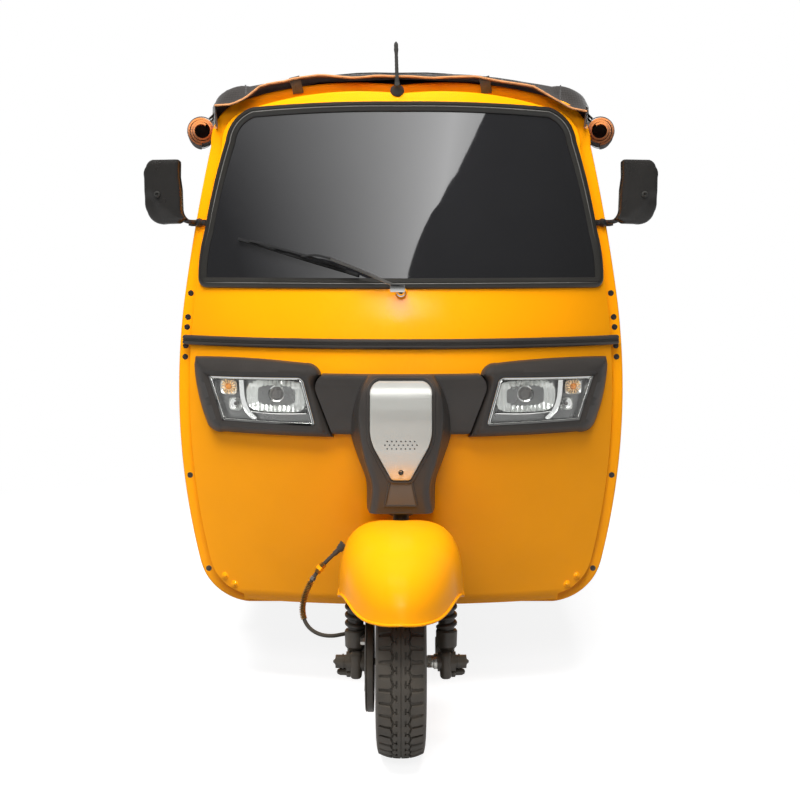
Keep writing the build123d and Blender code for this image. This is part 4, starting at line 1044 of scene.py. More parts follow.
def mirrors():
    """Flat-faced pods on short straight stalks from the hoop, with their glasses behind."""
    pod_outline = [(554, 1350), ((546, 1348), (544, 1340)), (545, 1308), (541, 1276), (540, 1227),
                   ((536, 1214), (528, 1205)), (548, 1194), (579, 1193), ((612, 1200), (626, 1221)),
                   ((631, 1234), (632, 1248)), (632, 1306), ((631, 1325), (627, 1332)),
                   ((621, 1343), (611, 1349)), (554, 1350)]
    loop = counter_clockwise(closed(pod_outline, 6))
    front_y = behind(MIRROR_FRONT)

    def front(x, z):
        d = distance_to(loop, x, z)
        outside = (x - 584) * 61 - (z - 1205) * 27
        fold = 5 * smooth_step(outside / 67, -1, 4) * (1 - smooth_step(z, 1255, 1275))
        return front_y + 20 - edge_rise(d, 13) - 5 * smooth_step(d, 5, 46) + fold

    shell = plate(loop, front, lambda x, z: front_y + 44, (), [inset(loop, d) for d in (1.5, 4, 8, 12)], 7)
    socket = lathe([(-6, 8), (3, 8), (5, 6.5), (6, 4), (2.5, 3), (2.5, 0)],
                   (597, front_y + 2, 1264), AHEAD, 20)
    add("mirror_shells", *both(shell), mirror_plastic, smooth=45, slot="dark_plastic")
    add("mirror_pivots", *both(socket), rubber)
    inner = inset(loop, 8)
    glass_part = plate(inner, lambda x, z: front_y + 43.5, lambda x, z: front_y + 47, (), (), 14)
    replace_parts(add("mirror_faces", *both(glass_part), mirror_look, slot="mirror_face"), "mirror_glasses")
    stalk = curve_through([(500, behind(HOOP_FRONT + 16), 1198), (512, behind(HOOP_FRONT - 8), 1198),
                           (530, behind(404), 1200), (556, behind(400), 1212)], 8)
    clamp_plan = [(486, 424), (520, 424), (529, 432), (529, 478),
                  (520, 484), (486, 484), (478, 478), (478, 430)]
    clamp_line = np.array([(x, behind(y), 1197) for x, y in clamp_plan], float)
    clamp = sweep(clamp_line, flat_section(1.5, 7), (0, 0, 1.0), wrap=True)
    nuts = [hexagon((x, behind(423), 1197), AHEAD, 5, 4) for x in (492, 514)]
    boot = lathe([(0, 10), (6, 11), (12, 9), (16, 6.2)],
                 (500, behind(HOOP_FRONT + 2), 1197), (0.6, -1, 0), 20)
    part = both(joined([tube(stalk, 5.5, 12), clamp, boot, *nuts]))
    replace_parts(add("mirror_stalks", *part, black_paint, slot="black_frame"), "mirrors")


def aerial():
    """Sprung aerial on a rubber foot at the top of the screen surround."""
    x, z = -9, 1512
    foot = skin_place(x, z, 0)
    base = lathe([(-2, 17), (3, 16), (8, 11), (12, 8), (18, 7), (24, 6), (25, 0)], foot, (0, -0.85, 0.55), 24)
    top = np.array((-12, skin_place(x, z, 8)[1] + 14, z + 116.0))
    low = np.array((x, skin_place(x, z, 10)[1], z + 8.0))
    mast = low + (top - low) * np.linspace(0, 1, 24)[:, None]
    radii = np.interp(np.linspace(0, 1, 24), [0, 0.1, 0.2, 0.75, 0.8, 0.97, 1],
                      [7, 6, 4.4, 4.0, 5.4, 4.6, 1.5])
    radii = radii + 0.35 * (np.arange(24) % 2)
    part = joined([base, tube(mast, radii, 14)])
    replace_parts(add("aerial_mast", *part, rubber, slot="black_rubber"), "aerial")


wiper()
mirrors()
aerial()


# ---------------------------------------------------------------- front mudguard
GUARD_HALF, GUARD_NOSE, GUARD_WIDEST, GUARD_TAIL = 139.0, -243.0, 40.0, 240.0
# half width of the guard ahead of the axle, height of its lip there
GUARD_LIP = np.array([(0, 365), (50, 362), (85, 365), (101, 373), (112, 381), (124, 384), (133, 375),
                      (139, 358)], float)
GUARD_LOW_Z, GUARD_TOP_Z = 357.0, 514.0


def guard_plan():
    """The guard's closed outline seen from above, y behind the front axle: an oval nose, a squarer tail."""
    turn = np.linspace(0, math.pi / 2, 24)
    nose = np.stack([GUARD_HALF * np.sin(turn), GUARD_WIDEST - (GUARD_WIDEST - GUARD_NOSE) * np.cos(turn)], 1)
    turn = np.linspace(0, math.pi / 2, 18)[1:]
    tail = np.stack([GUARD_HALF * np.cos(turn).clip(0) ** 0.6,
                     GUARD_WIDEST + (GUARD_TAIL - GUARD_WIDEST) * np.sin(turn) ** 0.6], 1)
    half = np.vstack([nose, tail])
    half[-1, 0] = 0
    return np.vstack([half, half[-2:0:-1] * (-1, 1)])


def mudguard():
    """A deep pressed guard, flat on top, nearly upright at its flanks; its rolled lip and the hose's gland."""
    loop = guard_plan()
    top = np.array((0.0, 25.0))
    shares = np.concatenate([np.linspace(0.02, 0.7, 14), np.linspace(0.74, 0.97, 10), [0.985, 0.995, 1.0]])
    away = loop - top
    sideways = np.abs(away[:, 0]) / np.linalg.norm(away, axis=1)
    lip_z = np.full(len(loop), GUARD_LOW_Z)
    ahead = loop[:, 1] < GUARD_WIDEST
    lip_z[ahead] = hermite(np.abs(loop[ahead, 0]), GUARD_LIP[:, 0], GUARD_LIP[:, 1])
    power = 2.35 + 0.75 * smooth_step(sideways, 0.0, 1.0)
    rows = []
    for u in shares:
        v = (1 - u**power) ** (1 / power)
        flat = top + away * u
        height = np.maximum(GUARD_LOW_Z + (GUARD_TOP_Z - GUARD_LOW_Z) * v, lip_z)
        rows.append(np.stack([flat[:, 0], behind(flat[:, 1]), height], 1))
    flare = np.zeros((len(loop), 3))
    flare[:, :2] = units(away)
    rows.append(rows[-1] + flare * 0.8 - (0, 0, 2.5))
    inner = [row * (0.972, 1, 1) - (0, 0, 3.5) for row in rows[::-1]]
    inner = [np.stack([r[:, 0], behind(25.0) + (r[:, 1] - behind(25.0)) * 0.985, r[:, 2]], 1) for r in inner]
    n = len(loop)
    whole = rows + inner
    faces = grid_faces(len(whole), n, False, True) + end_caps(len(whole), n)
    shell = add("mudguard_shell", np.vstack(whole), faces, yellow, STEERING, smooth=60, slot="yellow_paint")
    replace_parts(shell, "front_mudguard")
    add("mudguard_lip", *tube(rows[-1] - (0, 0, 0.5), 3.2, 10, wrap=True), yellow, STEERING)
    start, towards = (np.array((x, behind(y), z), float) for x, y, z in HOSE_ROUTE[:2])
    gland = [(-1, 5.5), (0, 8), (5, 8.5), (6, 10), (12, 10), (13, 12), (17, 12), (17, 0)]
    add("hose_gland", *lathe(gland, start, unit(start - towards), 24), rubber, STEERING)


mudguard()


# ---------------------------------------------------------------- wheels
PITCHES, TREAD_CUT, CROWN_R = 44, 4.6, 209.0


def tread_depth(x, turn):
    """How deep the tread is cut, as a share, at X across and that turn round."""
    phase = turn / (2 * math.pi) * PITCHES
    cycle = phase % 1.0
    a = np.abs(x)
    zigzag = 19.0 + 2.2 * (2 * np.abs(2 * cycle - 1) - 1)
    main = np.abs(a - zigzag) < 1.9
    slots = (a > 20.5) & (a < 47) & (cycle < 0.24 - 0.05 * (a - 20) / 26)
    row = (np.abs(a - 9.5) < 1.7) & (cycle > 0.28) & (cycle < 0.78)
    links = (a > 9.5) & (a < 17.5) & (np.abs(cycle - 0.5) < 0.06)
    centre = a < 0.8
    return np.select([main, slots, row, links, centre], [1.0, 0.9, 0.85, 0.6, 0.45], 0.0)


def tyre(name, x0, y0, body, node):
    """A block-tread tyre with rounded shoulders, ribbed sidewalls and beads."""
    across = [(-41, 105), (-46, 112), (-50, 128), (-53.5, 145), (-54.6, 160), (-54, 172), (-53.6, 173.5),
              (-53, 183), (-51.2, 192)]
    xs = np.array([-49.5, -47, -44, -38, -34, -30, -26, -24, -22.6, -21.4, -20.6, -19.4, -18.2, -17.4,
                   -16.4, -15, -12, -11.4, -10.8, -9.5, -8.2, -7.6, -5, -2, -0.9, -0.7, 0])
    xs = np.concatenate([xs, -xs[-2::-1]])
    crown = CROWN_R - 7.6 * (np.abs(xs) / 42.5) ** 2.4
    half = np.array(across)
    profile_x = np.concatenate([half[:, 0], xs, -half[::-1, 0]])
    profile_r = np.concatenate([half[:, 1], crown, half[::-1, 1]])
    cycle = np.array([0.0, 0.015, 0.12, 0.2, 0.235, 0.275, 0.285, 0.37, 0.435, 0.445, 0.5, 0.56, 0.57, 0.68,
                      0.775, 0.79, 0.9])
    turns = (np.arange(PITCHES)[:, None] + cycle).ravel() / PITCHES * 2 * math.pi
    grid_t, grid_x = np.meshgrid(turns, profile_x, indexing="ij")
    radius = np.tile(profile_r, (len(turns), 1))
    radius = radius - TREAD_CUT * tread_depth(grid_x, grid_t) * (radius > 190)
    radius = radius + 0.7 * np.isin(np.arange(len(profile_x)), [5, len(profile_x) - 6])
    vertices = np.stack([x0 + grid_x, y0 + radius * np.sin(grid_t), TYRE_R + radius * np.cos(grid_t)], -1)
    faces = grid_faces(len(turns), len(profile_x), True, False)
    n, m = len(turns), len(profile_x)
    faces += [(k * m, (k + 1) % n * m, (k + 1) % n * m + m - 1, k * m + m - 1) for k in range(n)]
    made = add(name, vertices.reshape(-1, 3), faces, tyre_look, body, smooth=28, slot="tyre_rubber")
    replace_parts(made, node)


def wheel_details(name, x0, y0, side, body):
    """Hub cap, wheel nuts and valve on a rim's outer face."""
    parts = [lathe([(0, 33), (8, 31), (13, 24), (15, 12), (15.5, 0)], (x0 + side * 30, y0, TYRE_R),
                   (side, 0, 0), 28)]
    for k in range(4):
        turn = math.radians(45 + 90 * k)
        place = (x0 + side * 3, y0 + 46 * math.sin(turn), TYRE_R + 46 * math.cos(turn))
        parts += [hexagon(place, (side, 0, 0), 8.5, 9),
                  lathe([(0, 11), (1.5, 11), (1.5, 0)], place, (side, 0, 0), 16)]
    valve = lathe([(0, 4), (18, 3.4), (19, 2.6), (26, 2.6), (26, 0)], (x0 + side * 6, y0 + 80, TYRE_R + 12),
                  (side, 0.25, 0), 12)
    add(name, *joined([*parts, valve]), zinc, body)


tyre("front_tread_tyre", 0.0, FRONT_AXLE_Y, "front_wheel", "front_tyre")
for side_name, side in (("left", 1), ("right", -1)):
    wheel_body = f"rear_wheel_{side_name}"
    tyre(f"rear_{side_name}_tread_tyre", side * REAR_WHEEL_X, REAR_AXLE_Y, wheel_body,
         f"rear_{side_name}_tyre")
    wheel_details(f"rear_{side_name}_hub_details", side * REAR_WHEEL_X, REAR_AXLE_Y, side, wheel_body)
    dress(f"rear_{side_name}_rim", rim_look, 0.8)
dress("front_rim", rim_look, 0.8)


# ---------------------------------------------------------------- springs and fork
def axis_point(height):
    """A place on the raked steering axis."""
    return np.array((0, behind(AXIS_BEHIND + (height - TYRE_R) * math.tan(RAKE)), height))


def front_dampers():
    """Coil springs over telescopic dampers, one each side of the wheel."""
    low = np.array((102.0, behind(8), TYRE_R + 22))
    high = np.array((102.0, behind(14), 437.0))
    axis = unit(high - low)
    coil = helix(low + axis * 50, high - axis * 16, 18.5, 7.5, 5.4)
    body = lathe([(0, 14), (3, 16), (12, 23), (46, 24), (49, 22), (49, 17), (90, 17.5), (140, 16.5),
                  (186, 17), (186, 24), (190, 24), (200, 14), (204, 14)], low, axis, 24)
    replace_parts(add("front_coils", *both(coil), black_paint, STEERING, slot="black_frame"), "front_dampers")
    add("front_damper_bodies", *both(body), black_paint, STEERING)


def rear_dampers():
    """Coil springs over dampers at the rear arms."""
    low = np.array((480.0, REAR_AXLE_Y + 10, TYRE_R + 47))
    high = np.array((480.0, REAR_AXLE_Y + 10, 601.0))
    coil = helix(low + (0, 0, 34), high - (0, 0, 52), 27, 8.5, 6.5)
    body = lathe([(0, 20), (24, 20), (26, 34), (33, 34), (34, 17), (150, 17), (152, 9), (290, 9), (292, 34),
                  (300, 34), (302, 20), (345, 20)], low, (0, 0, 1), 24)
    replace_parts(add("rear_coils", *both(coil), black_paint, slot="black_frame"), "rear_dampers")
    add("rear_damper_bodies", *both(body), black_paint)


def axle_ends():
    """Nuts and washers on the front axle, its spacer, and the brake plate's ribs and lever."""
    parts = []
    for x, radius, width in ((112, 19, 3), (115, 15.5, 13), (128, 17, 3), (131, 13, 10), (141, 8, 6)):
        place, is_nut = (x, FRONT_AXLE_Y, TYRE_R), radius in (15.5, 13)
        washer = [(0, radius), (width, radius), (width, 0)]
        parts.append(hexagon(place, (1, 0, 0), radius, width) if is_nut
                     else lathe(washer, place, (1, 0, 0), 24))
    parts.append(lathe([(139, 10), (146, 7), (151, 3), (152, 0)], (0, FRONT_AXLE_Y, TYRE_R), (1, 0, 0), 20))
    parts.append(rounded_box((87, behind(-24), TYRE_R - 36), (113, behind(26), TYRE_R + 26), 9))
    parts += [hexagon((113, behind(2), TYRE_R - 24), (1, 0, 0), 12.5, 9),
              lathe([(122, 8.5), (136, 8), (142, 5), (144, 0)], (0, behind(2), TYRE_R - 24), (1, 0, 0), 20)]
    add("front_axle_nuts", *both(joined(parts)), black_paint, STEERING)
    spacer = lathe([(57, 12), (60, 14), (72, 14), (74, 17), (84, 17), (88, 15)], (0, FRONT_AXLE_Y, TYRE_R),
                   (1, 0, 0), 28)
    add("front_axle_spacer", *spacer, zinc, STEERING)
    ribs = [lathe([(0, 108), (3, 110), (5, 106), (5, 100), (2, 98), (2, 60), (5, 58), (6, 30), (6, 0)],
                  (-73.5, FRONT_AXLE_Y, TYRE_R), (-1, 0, 0), 64)]
    for k in range(8):
        turn = math.radians(22.5 + 45 * k)
        a = np.array((-77, FRONT_AXLE_Y + 36 * math.sin(turn), TYRE_R + 36 * math.cos(turn)))
        b = np.array((-77, FRONT_AXLE_Y + 96 * math.sin(turn), TYRE_R + 96 * math.cos(turn)))
        ribs.append(tube(np.array([a, (a + b) / 2, b]), 2.6, 8))
    add("brake_plate_ribs", *joined(ribs), black_paint, STEERING)
    lever = curve_through([(-84, behind(-20), 262), (-86, behind(18), 276), (-84, behind(52), 268),
                           (-80, behind(66), 259)])
    add("brake_lever_front",
        *joined([tube(lever, 4, 8), hexagon((-74, behind(-20), 262), (-1, 0, 0), 9, 16)]), zinc, STEERING)


front_dampers()
rear_dampers()
axle_ends()
dress("fork", black_paint, 2.0)
dress("front_axle", black_paint, 2.0)
dress("brake_plate", black_paint, 1.5)
dress("steering_column", black_paint, 1.0)
dress("steering_head", black_paint, 1.0)

# ---------------------------------------------------------------- canvas hood
# behind the front axle, half width, shoulder height, crown height
ROOF = np.array([
    (392, 455, 1488, 1564), (900, 528, 1542, 1632), (1400, 606, 1600, 1704), (1900, 634, 1622, 1714),
    (2230, 632, 1600, 1686),
], float)
SKIRT, CORNER_RUN, CORNER_RISE = 60.0, 90.0, 48.0
ROOF_START, REAR_END, PLAN_CORNER = 392.0, 2230.0, 110.0
BOWS = (900.0, 1400.0, 1900.0, 2110.0)
CLOTH_T = 2.6
# the front hem's drape: across and height
HEM = np.array([(-456, 1480), (-414, 1483), (-390, 1493), (-370, 1505), (-353, 1521), (-339, 1529),
                (-308, 1535), (-280, 1539), (-256, 1546), (-195, 1554), (-157, 1550), (-115, 1546),
                (-54, 1552), (-17, 1550), (23, 1550), (75, 1546), (130, 1549), (182, 1550), (238, 1539),
                (322, 1527), (369, 1500), (416, 1474), (456, 1466)], float)


def arc_points(first, middle, last, n):
    """Points at n even steps along the circle through three points."""
    fine = np.array([first, *arc(first, middle, last, 1.0)])
    run = np.concatenate([[0], np.cumsum(np.linalg.norm(np.diff(fine, axis=0), axis=1))])
    at = np.linspace(0, run[-1], n + 1)
    return np.stack([np.interp(at, run, fine[:, k]) for k in (0, 1)], 1)


def roof_half(station):
    """The hood's half width in plan, rounded in at its rear corners."""
    into = np.clip(np.asarray(station, float) - (REAR_END - PLAN_CORNER), 0, PLAN_CORNER)
    rounding = (PLAN_CORNER - np.sqrt(PLAN_CORNER**2 - into**2)) * 0.9
    return hermite(np.asarray(station, float), ROOF[:, 0], ROOF[:, 1]) - rounding


def roof_row(station):
    """The hood's section at one station, from skirt to skirt: across and height."""
    w = float(roof_half(station))
    s, c = (float(hermite(np.array(station), ROOF[:, 0], ROOF[:, k])) for k in (2, 3))
    run, rise = CORNER_RUN, CORNER_RISE
    skirt = np.stack([np.full(6, w), np.linspace(s - SKIRT, s, 6)], 1)
    corner = arc_points((w, s), (w - run * 0.3, s + rise * 0.72), (w - run, s + rise), 10)
    top = arc_points((w - run, s + rise), (w * 0.45, s + rise + (c - s - rise) * 0.78), (0, c), 18)
    half = np.vstack([skirt, corner[1:], top[1:]])
    return np.vstack([half, (half * (-1, 1))[::-1][1:]])


def canvas_relief(a, b, size):
    """Soft creases in stretched canvas."""
    return size * (1.6 * np.sin(a / 83 + 1.3 * np.sin(b / 140)) * np.sin(b / 97 + 0.7)
                   + 0.9 * np.sin(a / 31 + b / 57 + 2 * np.sin(b / 210)) + 0.5 * np.sin(b / 23 + a / 66))


INNER_MIDDLE = (0, 500, 1150)


def shell_of(grid, thickness):
    """A grid of places as a sheet with thickness, and its number of outer faces; the inner ones come next."""
    along, across = np.gradient(grid, axis=0), np.gradient(grid, axis=1)
    normal = np.cross(along, across)
    normal /= np.maximum(np.linalg.norm(normal, axis=2), 1e-9)[..., None]
    normal *= np.sign((normal * (grid - INNER_MIDDLE)).sum(2).mean())
    inner = grid - normal * thickness
    rows, columns, _ = grid.shape
    outer_faces = grid_faces(rows, columns)
    faces = thickened(outer_faces, rows * columns)
    return np.vstack([grid.reshape(-1, 3), inner.reshape(-1, 3)]), faces, len(outer_faces)


def paint_inner(made, count):
    """The second look on the inner faces, which follow the outer ones, count of each."""
    for p in made.data.polygons:
        p.material_index = 1 if count <= p.index < 2 * count else 0


def roof_sheet():
    """The hood's roof with its skirts, front hem and drop at the back, its pipings and seams."""
    corner = REAR_END - PLAN_CORNER + PLAN_CORNER * np.sin(np.linspace(0.1, math.pi / 2, 10))
    stations = np.concatenate([np.linspace(ROOF_START, 560, 15), np.linspace(580, 2110, 72), corner])
    rows = []
    for station in stations:
        row = roof_row(station)
        x, z = row[:, 0].copy(), row[:, 1].copy()
        s = z[5]
        on_top = smooth_step(z, s + 10, s + CORNER_RISE)
        ahead = [b for b in (HOOP_FRONT, *BOWS) if b <= station]
        beyond = [b for b in (*BOWS, REAR_END) if b > station]
        a, b = (ahead[-1] if ahead else ROOF_START), (beyond[0] if beyond else REAR_END)
        share = np.clip((station - a) / max(b - a, 1.0), 0, 1)
        z -= on_top * 9.0 * math.sin(math.pi * share) * (1 if ahead else 0)
        z += canvas_relief(x + 900, station, 0.9) * on_top
        flare = 1 - smooth_step(z, s - SKIRT, s)
        x += np.sign(x) * flare * (3 * math.sin(station / 37) + 2 * math.sin(station / 15 + 1))
        fade = 1 - smooth_step(station, ROOF_START, 540)
        hem = np.interp(x, HEM[:, 0], HEM[:, 1])
        above = z > s - 4
        z = np.where(above, z + (hem - z) * fade, z)
        rows.append(np.stack([x, np.full(len(x), behind(station)), z], 1))
    last, low = rows[-1], roof_row(REAR_END)[0, 1]
    for share in np.linspace(0.06, 1, 11):
        z = last[:, 2] - (last[:, 2] - low) * share
        y = behind(REAR_END) + 3 * math.sin(share * math.pi) + canvas_relief(last[:, 0], z, 0.5)
        rows.append(np.stack([last[:, 0], np.where(last[:, 2] > low + 62, y, behind(REAR_END)), z], 1))
    grid = np.array(rows)
    vertices, faces, count = shell_of(grid, CLOTH_T)
    # the inner faces take the darkened lining, painted shade under the hood
    roof = add("hood_roof", vertices, faces, (canvas, painted_shade_lining), smooth=55, slot="canvas")
    paint_inner(roof, count)
    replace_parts(roof, "canopy")
    front_row = grid[0]
    pipings = [add("hood_front_piping", *tube(front_row[5:-5] + (0, -1.0, -1.0), 2.6, 8), piping_look)]
    skirts = joined([tube(line - (0, 0, 1.5), 3.0, 8) for line in (grid[:, 0], grid[:, -1])])
    pipings.append(add("hood_skirt_piping", *skirts, piping_look))
    seams = []
    for bow in BOWS:
        k = int(np.argmin(np.abs(stations - bow)))
        for shift in (-11, 11):
            line = grid[k] + (0, shift, 0.6)
            seams.append(tube(line[8:-8:2], 1.7, 6))
    for fold in (13, 52):
        seams.append(tube(grid[3:len(stations), fold] + (0, 0, 0.8), 2.0, 6))
    seam_piece = add("hood_seams", *joined(seams), canvas)


DOOR_REAR_Y = behind(1570.0)


def hood_plan(height):
    """The wall's line in plan at one height, from the right side round the back to the left side."""
    share = np.clip((height - 920.0) / (1580.0 - 920.0), 0, 1.15)
    half, rear = 660 + (628 - 660) * share, 1270 + (behind(REAR_END) - 1270) * share
    corner = 150 + (110 - 150) * share
    turn = np.linspace(0, math.pi / 2, 14)
    right = [(-half, DOOR_REAR_Y + (rear - corner - DOOR_REAR_Y) * t) for t in np.linspace(0, 1, 26)]
    right += [(-half + corner - corner * math.cos(t), rear - corner + corner * math.sin(t)) for t in turn[1:]]
    back = [(x, rear) for x in np.linspace(-half + corner, half - corner, 48)[1:-1]]
    plan = np.array(right + back + [(-x, y) for x, y in right[::-1]])
    tuck = smooth_step(height, 1430, 1546)
    limit = (roof_half(plan[:, 1] - behind(0)) - 7) * tuck + 700 * (1 - tuck)
    plan[:, 0] = np.clip(plan[:, 0], -limit, limit)
    plan[:, 1] = np.minimum(plan[:, 1], plan[:, 1] * (1 - tuck) + (behind(REAR_END) - 7) * tuck)
    return plan


WINDOW_X, WINDOW_LOW, WINDOW_HIGH = 300.0, 1200.0, 1430.0


def hood_wall():
    """The hood's sides and back behind the doors, with a clear rear window."""
    heights = np.concatenate([np.linspace(912, 1180, 20), [1190, 1197, 1200], np.linspace(1215, 1415, 12),
                              [1430, 1433, 1440], np.linspace(1455, 1568, 10)])
    rows = []
    for h in heights:
        plan = hood_plan(h)
        run = np.concatenate([[0], np.cumsum(np.linalg.norm(np.diff(plan, axis=0), axis=1))])
        ahead = directions(np.column_stack([plan, np.zeros(len(plan))]))
        outward = np.stack([-ahead[:, 1], ahead[:, 0]], 1)
        middle = np.array((0.0, 700.0))
        outward *= np.sign(((plan - middle) * outward).sum(1))[:, None]
        puff = canvas_relief(run, h, 1.1) + 3.5 * math.sin(math.pi * (h - 912) / 694)
        puff = puff * (1 - smooth_step(h, 1440, 1530))
        near_window = (np.abs(plan[:, 0]) < WINDOW_X + 60) & (plan[:, 1] > 900) & (1150 < h < 1480)
        puff = np.where(near_window, puff * 0.3 + 1, puff) * smooth_step(h, 905, 960)
        place = plan + outward * puff[:, None]
        rows.append(np.column_stack([place, np.full(len(place), h)]))
    grid = np.array(rows)
    vertices, faces, count = shell_of(grid, CLOTH_T)
    low, high = np.searchsorted(heights, (WINDOW_LOW, WINDOW_HIGH))
    columns = grid.shape[1]

    def in_window(face):
        i, j = divmod(face[0], columns)
        x0, x1 = grid[i, j, 0], grid[i, min(j + 1, columns - 1), 0]
        return low <= i < high and grid[i, j, 1] > 900 and abs((x0 + x1) / 2) < WINDOW_X

    outer = [f for f in faces[:count] if not in_window(f)]
    kept = thickened(outer, grid.shape[0] * columns)
    # the inner faces take the darkened lining, painted shade inside the hood
    wall = add("hood_wall", vertices, kept, (canvas, painted_shade_lining), smooth=55, slot="canvas")
    paint_inner(wall, len(outer))
    js = [j for j in range(columns) if grid[low, j, 1] > 900 and abs(grid[low, j, 0]) < WINDOW_X + 25]
    patch = grid[low - 1:high + 2, js[0]:js[-1] + 1] - (0, 1.5, 0)
    vertices, faces, _ = shell_of(patch, 0.8)
    pane = add("hood_rear_window", vertices, faces, window_look)
    rim = [*(grid[i, js[1]:js[-1]] for i in (low, high)), *(grid[low:high + 1, j] for j in (js[1], js[-2]))]
    welt = add("hood_window_welt", *joined([tube(line + (0, 2, 0), 3.4, 8) for line in rim]), canvas)
    hems = [tube(line, 3.0, 8) for line in (grid[0] + (0, 0, 1), grid[:, 0], grid[:, -1])]
    hem = add("hood_wall_hem", *joined(hems), piping_look)
    studs = []
    for j in range(2, columns - 2, 7):
        place = grid[1, j]
        out = np.array((math.copysign(1, place[0]), 0, 0)) if abs(place[0]) > 620 else np.array((0, 1.0, 0))
        studs.append(dome(place + out * 1.5, out, 7, 4, 14))
    stud_piece = add("hood_wall_studs", *joined(studs), zinc)
    seams = [tube(grid[:, j] * (1.002, 1.001, 1), 1.8, 6) for j in (30, columns - 31)]
    seam_piece = add("hood_wall_seams", *joined(seams), canvas)


roof_sheet()
hood_wall()

# ---------------------------------------------------------------- rolled curtains
ROLL_START, ROLL_END = np.array((497, behind(452.0), 1425.0)), np.array((645, behind(1400.0), 1508.0))
ROLL_RUN = ROLL_END - ROLL_START
ROLL_TURNS, ROLL_HALF_GAP = 2.6, 2.4
ROLL_STRAPS = (0.04, 0.5, 0.94)
STRAP = flat_section(11, 0.9)


def roll_section():
    """The rolled sheet's spiral section, and how many of its points are on the outer side."""
    t = np.linspace(0, 1, 84)
    radius = 17.5 + 15.8 * t + 0.5 * np.sin(t * 22)
    angle = -t * ROLL_TURNS * 2 * math.pi + 2.2
    middle = np.stack([radius * np.cos(angle), radius * np.sin(angle)], 1)
    run = units(np.gradient(middle, axis=0))
    out = np.stack([run[:, 1], -run[:, 0]], 1)
    out *= np.sign((out * middle).sum(1))[:, None]
    return np.vstack([middle + out * ROLL_HALF_GAP, (middle - out * ROLL_HALF_GAP)[::-1]]), len(t)


def curtains():
    """The rolled side curtains with their ties and cores, and the two tabs under the hood's front hem."""
    section, n = roll_section()
    share = np.linspace(0, 1, 70)
    path = ROLL_START + ROLL_RUN * share[:, None]
    path[:, 2] -= 5 * np.sin(np.pi * share * 2) ** 2 * (share > 0.04) * (share < 0.94)
    along = directions(path)
    out = units(np.array((0, 0, 1.0)) - along * along[:, 2:])
    across = np.cross(along, out)
    reach = np.linalg.norm(section, axis=1)
    radial = (reach - reach.min()) / (reach.max() - reach.min())
    rows = []
    for k, s in enumerate(share):
        pinch = 1 - 0.07 * sum(math.exp(-(((s - at - 0.012) / 0.018) ** 2)) for at in ROLL_STRAPS)
        bulge = 1 + 0.02 * math.sin(s * 31) + 0.012 * math.sin(s * 67)
        row = path[k] + (across[k] * section[:, :1] + out[k] * section[:, 1:]) * pinch * bulge
        if k == 0:
            row -= along[0] * (26 * (1 - radial))[:, None]
        rows.append(row)
    m = len(section)
    faces = grid_faces(len(share), m, False, True)
    inner = {j for j in range(2 * n - 1) if j >= n or j < 0.6 * n}
    caps = []
    for end in (0, len(share) - 1):
        base = end * m
        for j in range(n - 1):
            quad = (base + j, base + j + 1, base + 2 * n - 2 - j, base + 2 * n - 1 - j)
            caps.append(quad if end else quad[::-1])
    part = np.vstack(rows), faces + caps
    for name, one in (("curtain_roll_left", part), ("curtain_roll_right", flipped(part))):
        made = add(name, *one, (canvas, lining), smooth=50, slot="orange_cloth")
        wall = len(faces)
        for p in made.data.polygons:
            p.material_index = 1 if p.index >= wall or (p.index % m) in inner else 0
        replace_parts(made, "side_curtains")
    ties = []
    for at in ROLL_STRAPS:
        centre = ROLL_START + ROLL_RUN * at + unit(ROLL_RUN) * 12
        turn = np.linspace(0, 2 * math.pi, 40, endpoint=False)
        ring = centre + 35.6 * (np.cos(turn)[:, None] * across[0] + np.sin(turn)[:, None] * out[0])
        ties.append(sweep(ring, STRAP, ring - centre, wrap=True))
        hang = curve_through([centre + (-20, 0, 31), centre + (-33, 0, 44), centre + (-42, 0, 62)], 6)
        ties.append(sweep(hang, STRAP, (1.0, 0, 0.6)))
    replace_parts(add("curtain_ties", *both(joined(ties)), webbing, slot="canvas"), "curtain_straps")
    plug = tube(ROLL_START + ROLL_RUN * np.array([[0.05], [0.5], [0.95]]), 18.5, 20)
    add("curtain_cores", *both(plug), rubber)
    tabs = []
    for x, z in ((-258, 1531), (206, 1531)):
        low = np.array((x, behind(403.0), z + 6))
        hang = curve_through([low + (-3, -4, 12), low, low + (4, 14, -16), low + (5, 22, -24)], 5)
        tabs.append(sweep(hang, flat_section(13, 1), (0, -1.0, 0.2)))
    add("hood_front_tabs", *joined(tabs), webbing)


curtains()
for node in ("roof_frame", "partition_rail"):
    dress(node, black_paint)


# ---------------------------------------------------------------- rear body
# height, half width, rear face ahead of the overall rear end
BODY = np.array([(300, 636, 46), (620, 662, 26), (930, 650, 60)], float)
BODY_CORNER, LOUVRE_H = 150.0, 16.0
ARCH_R, ARCH_Z = 261, 219


def body_rear(x, z, out=0.0):
    """Y of the rear body's skin at the back."""
    half = np.interp(z, BODY[:, 0], BODY[:, 1])
    rear = REAR_END_Y - np.interp(z, BODY[:, 0], BODY[:, 2])
    into = np.clip(np.abs(x) - (half - BODY_CORNER), 0, BODY_CORNER)
    return rear - BODY_CORNER + np.sqrt(BODY_CORNER**2 - into**2) + out


def body_half(y, z, out):
    """Half width of the rear body's skin at a place on its side."""
    half = np.interp(z, BODY[:, 0], BODY[:, 1])
    corner = REAR_END_Y - np.interp(z, BODY[:, 0], BODY[:, 2]) - BODY_CORNER
    into = np.clip(y - corner, 0, BODY_CORNER)
    return half - BODY_CORNER + np.sqrt(BODY_CORNER**2 - into**2) + out


def on_rear(u, v, out):
    return np.stack([u, body_rear(u, v, out), v], -1)


def on_left(u, v, out):
    return np.stack([body_half(u, v, out), u, v], -1)


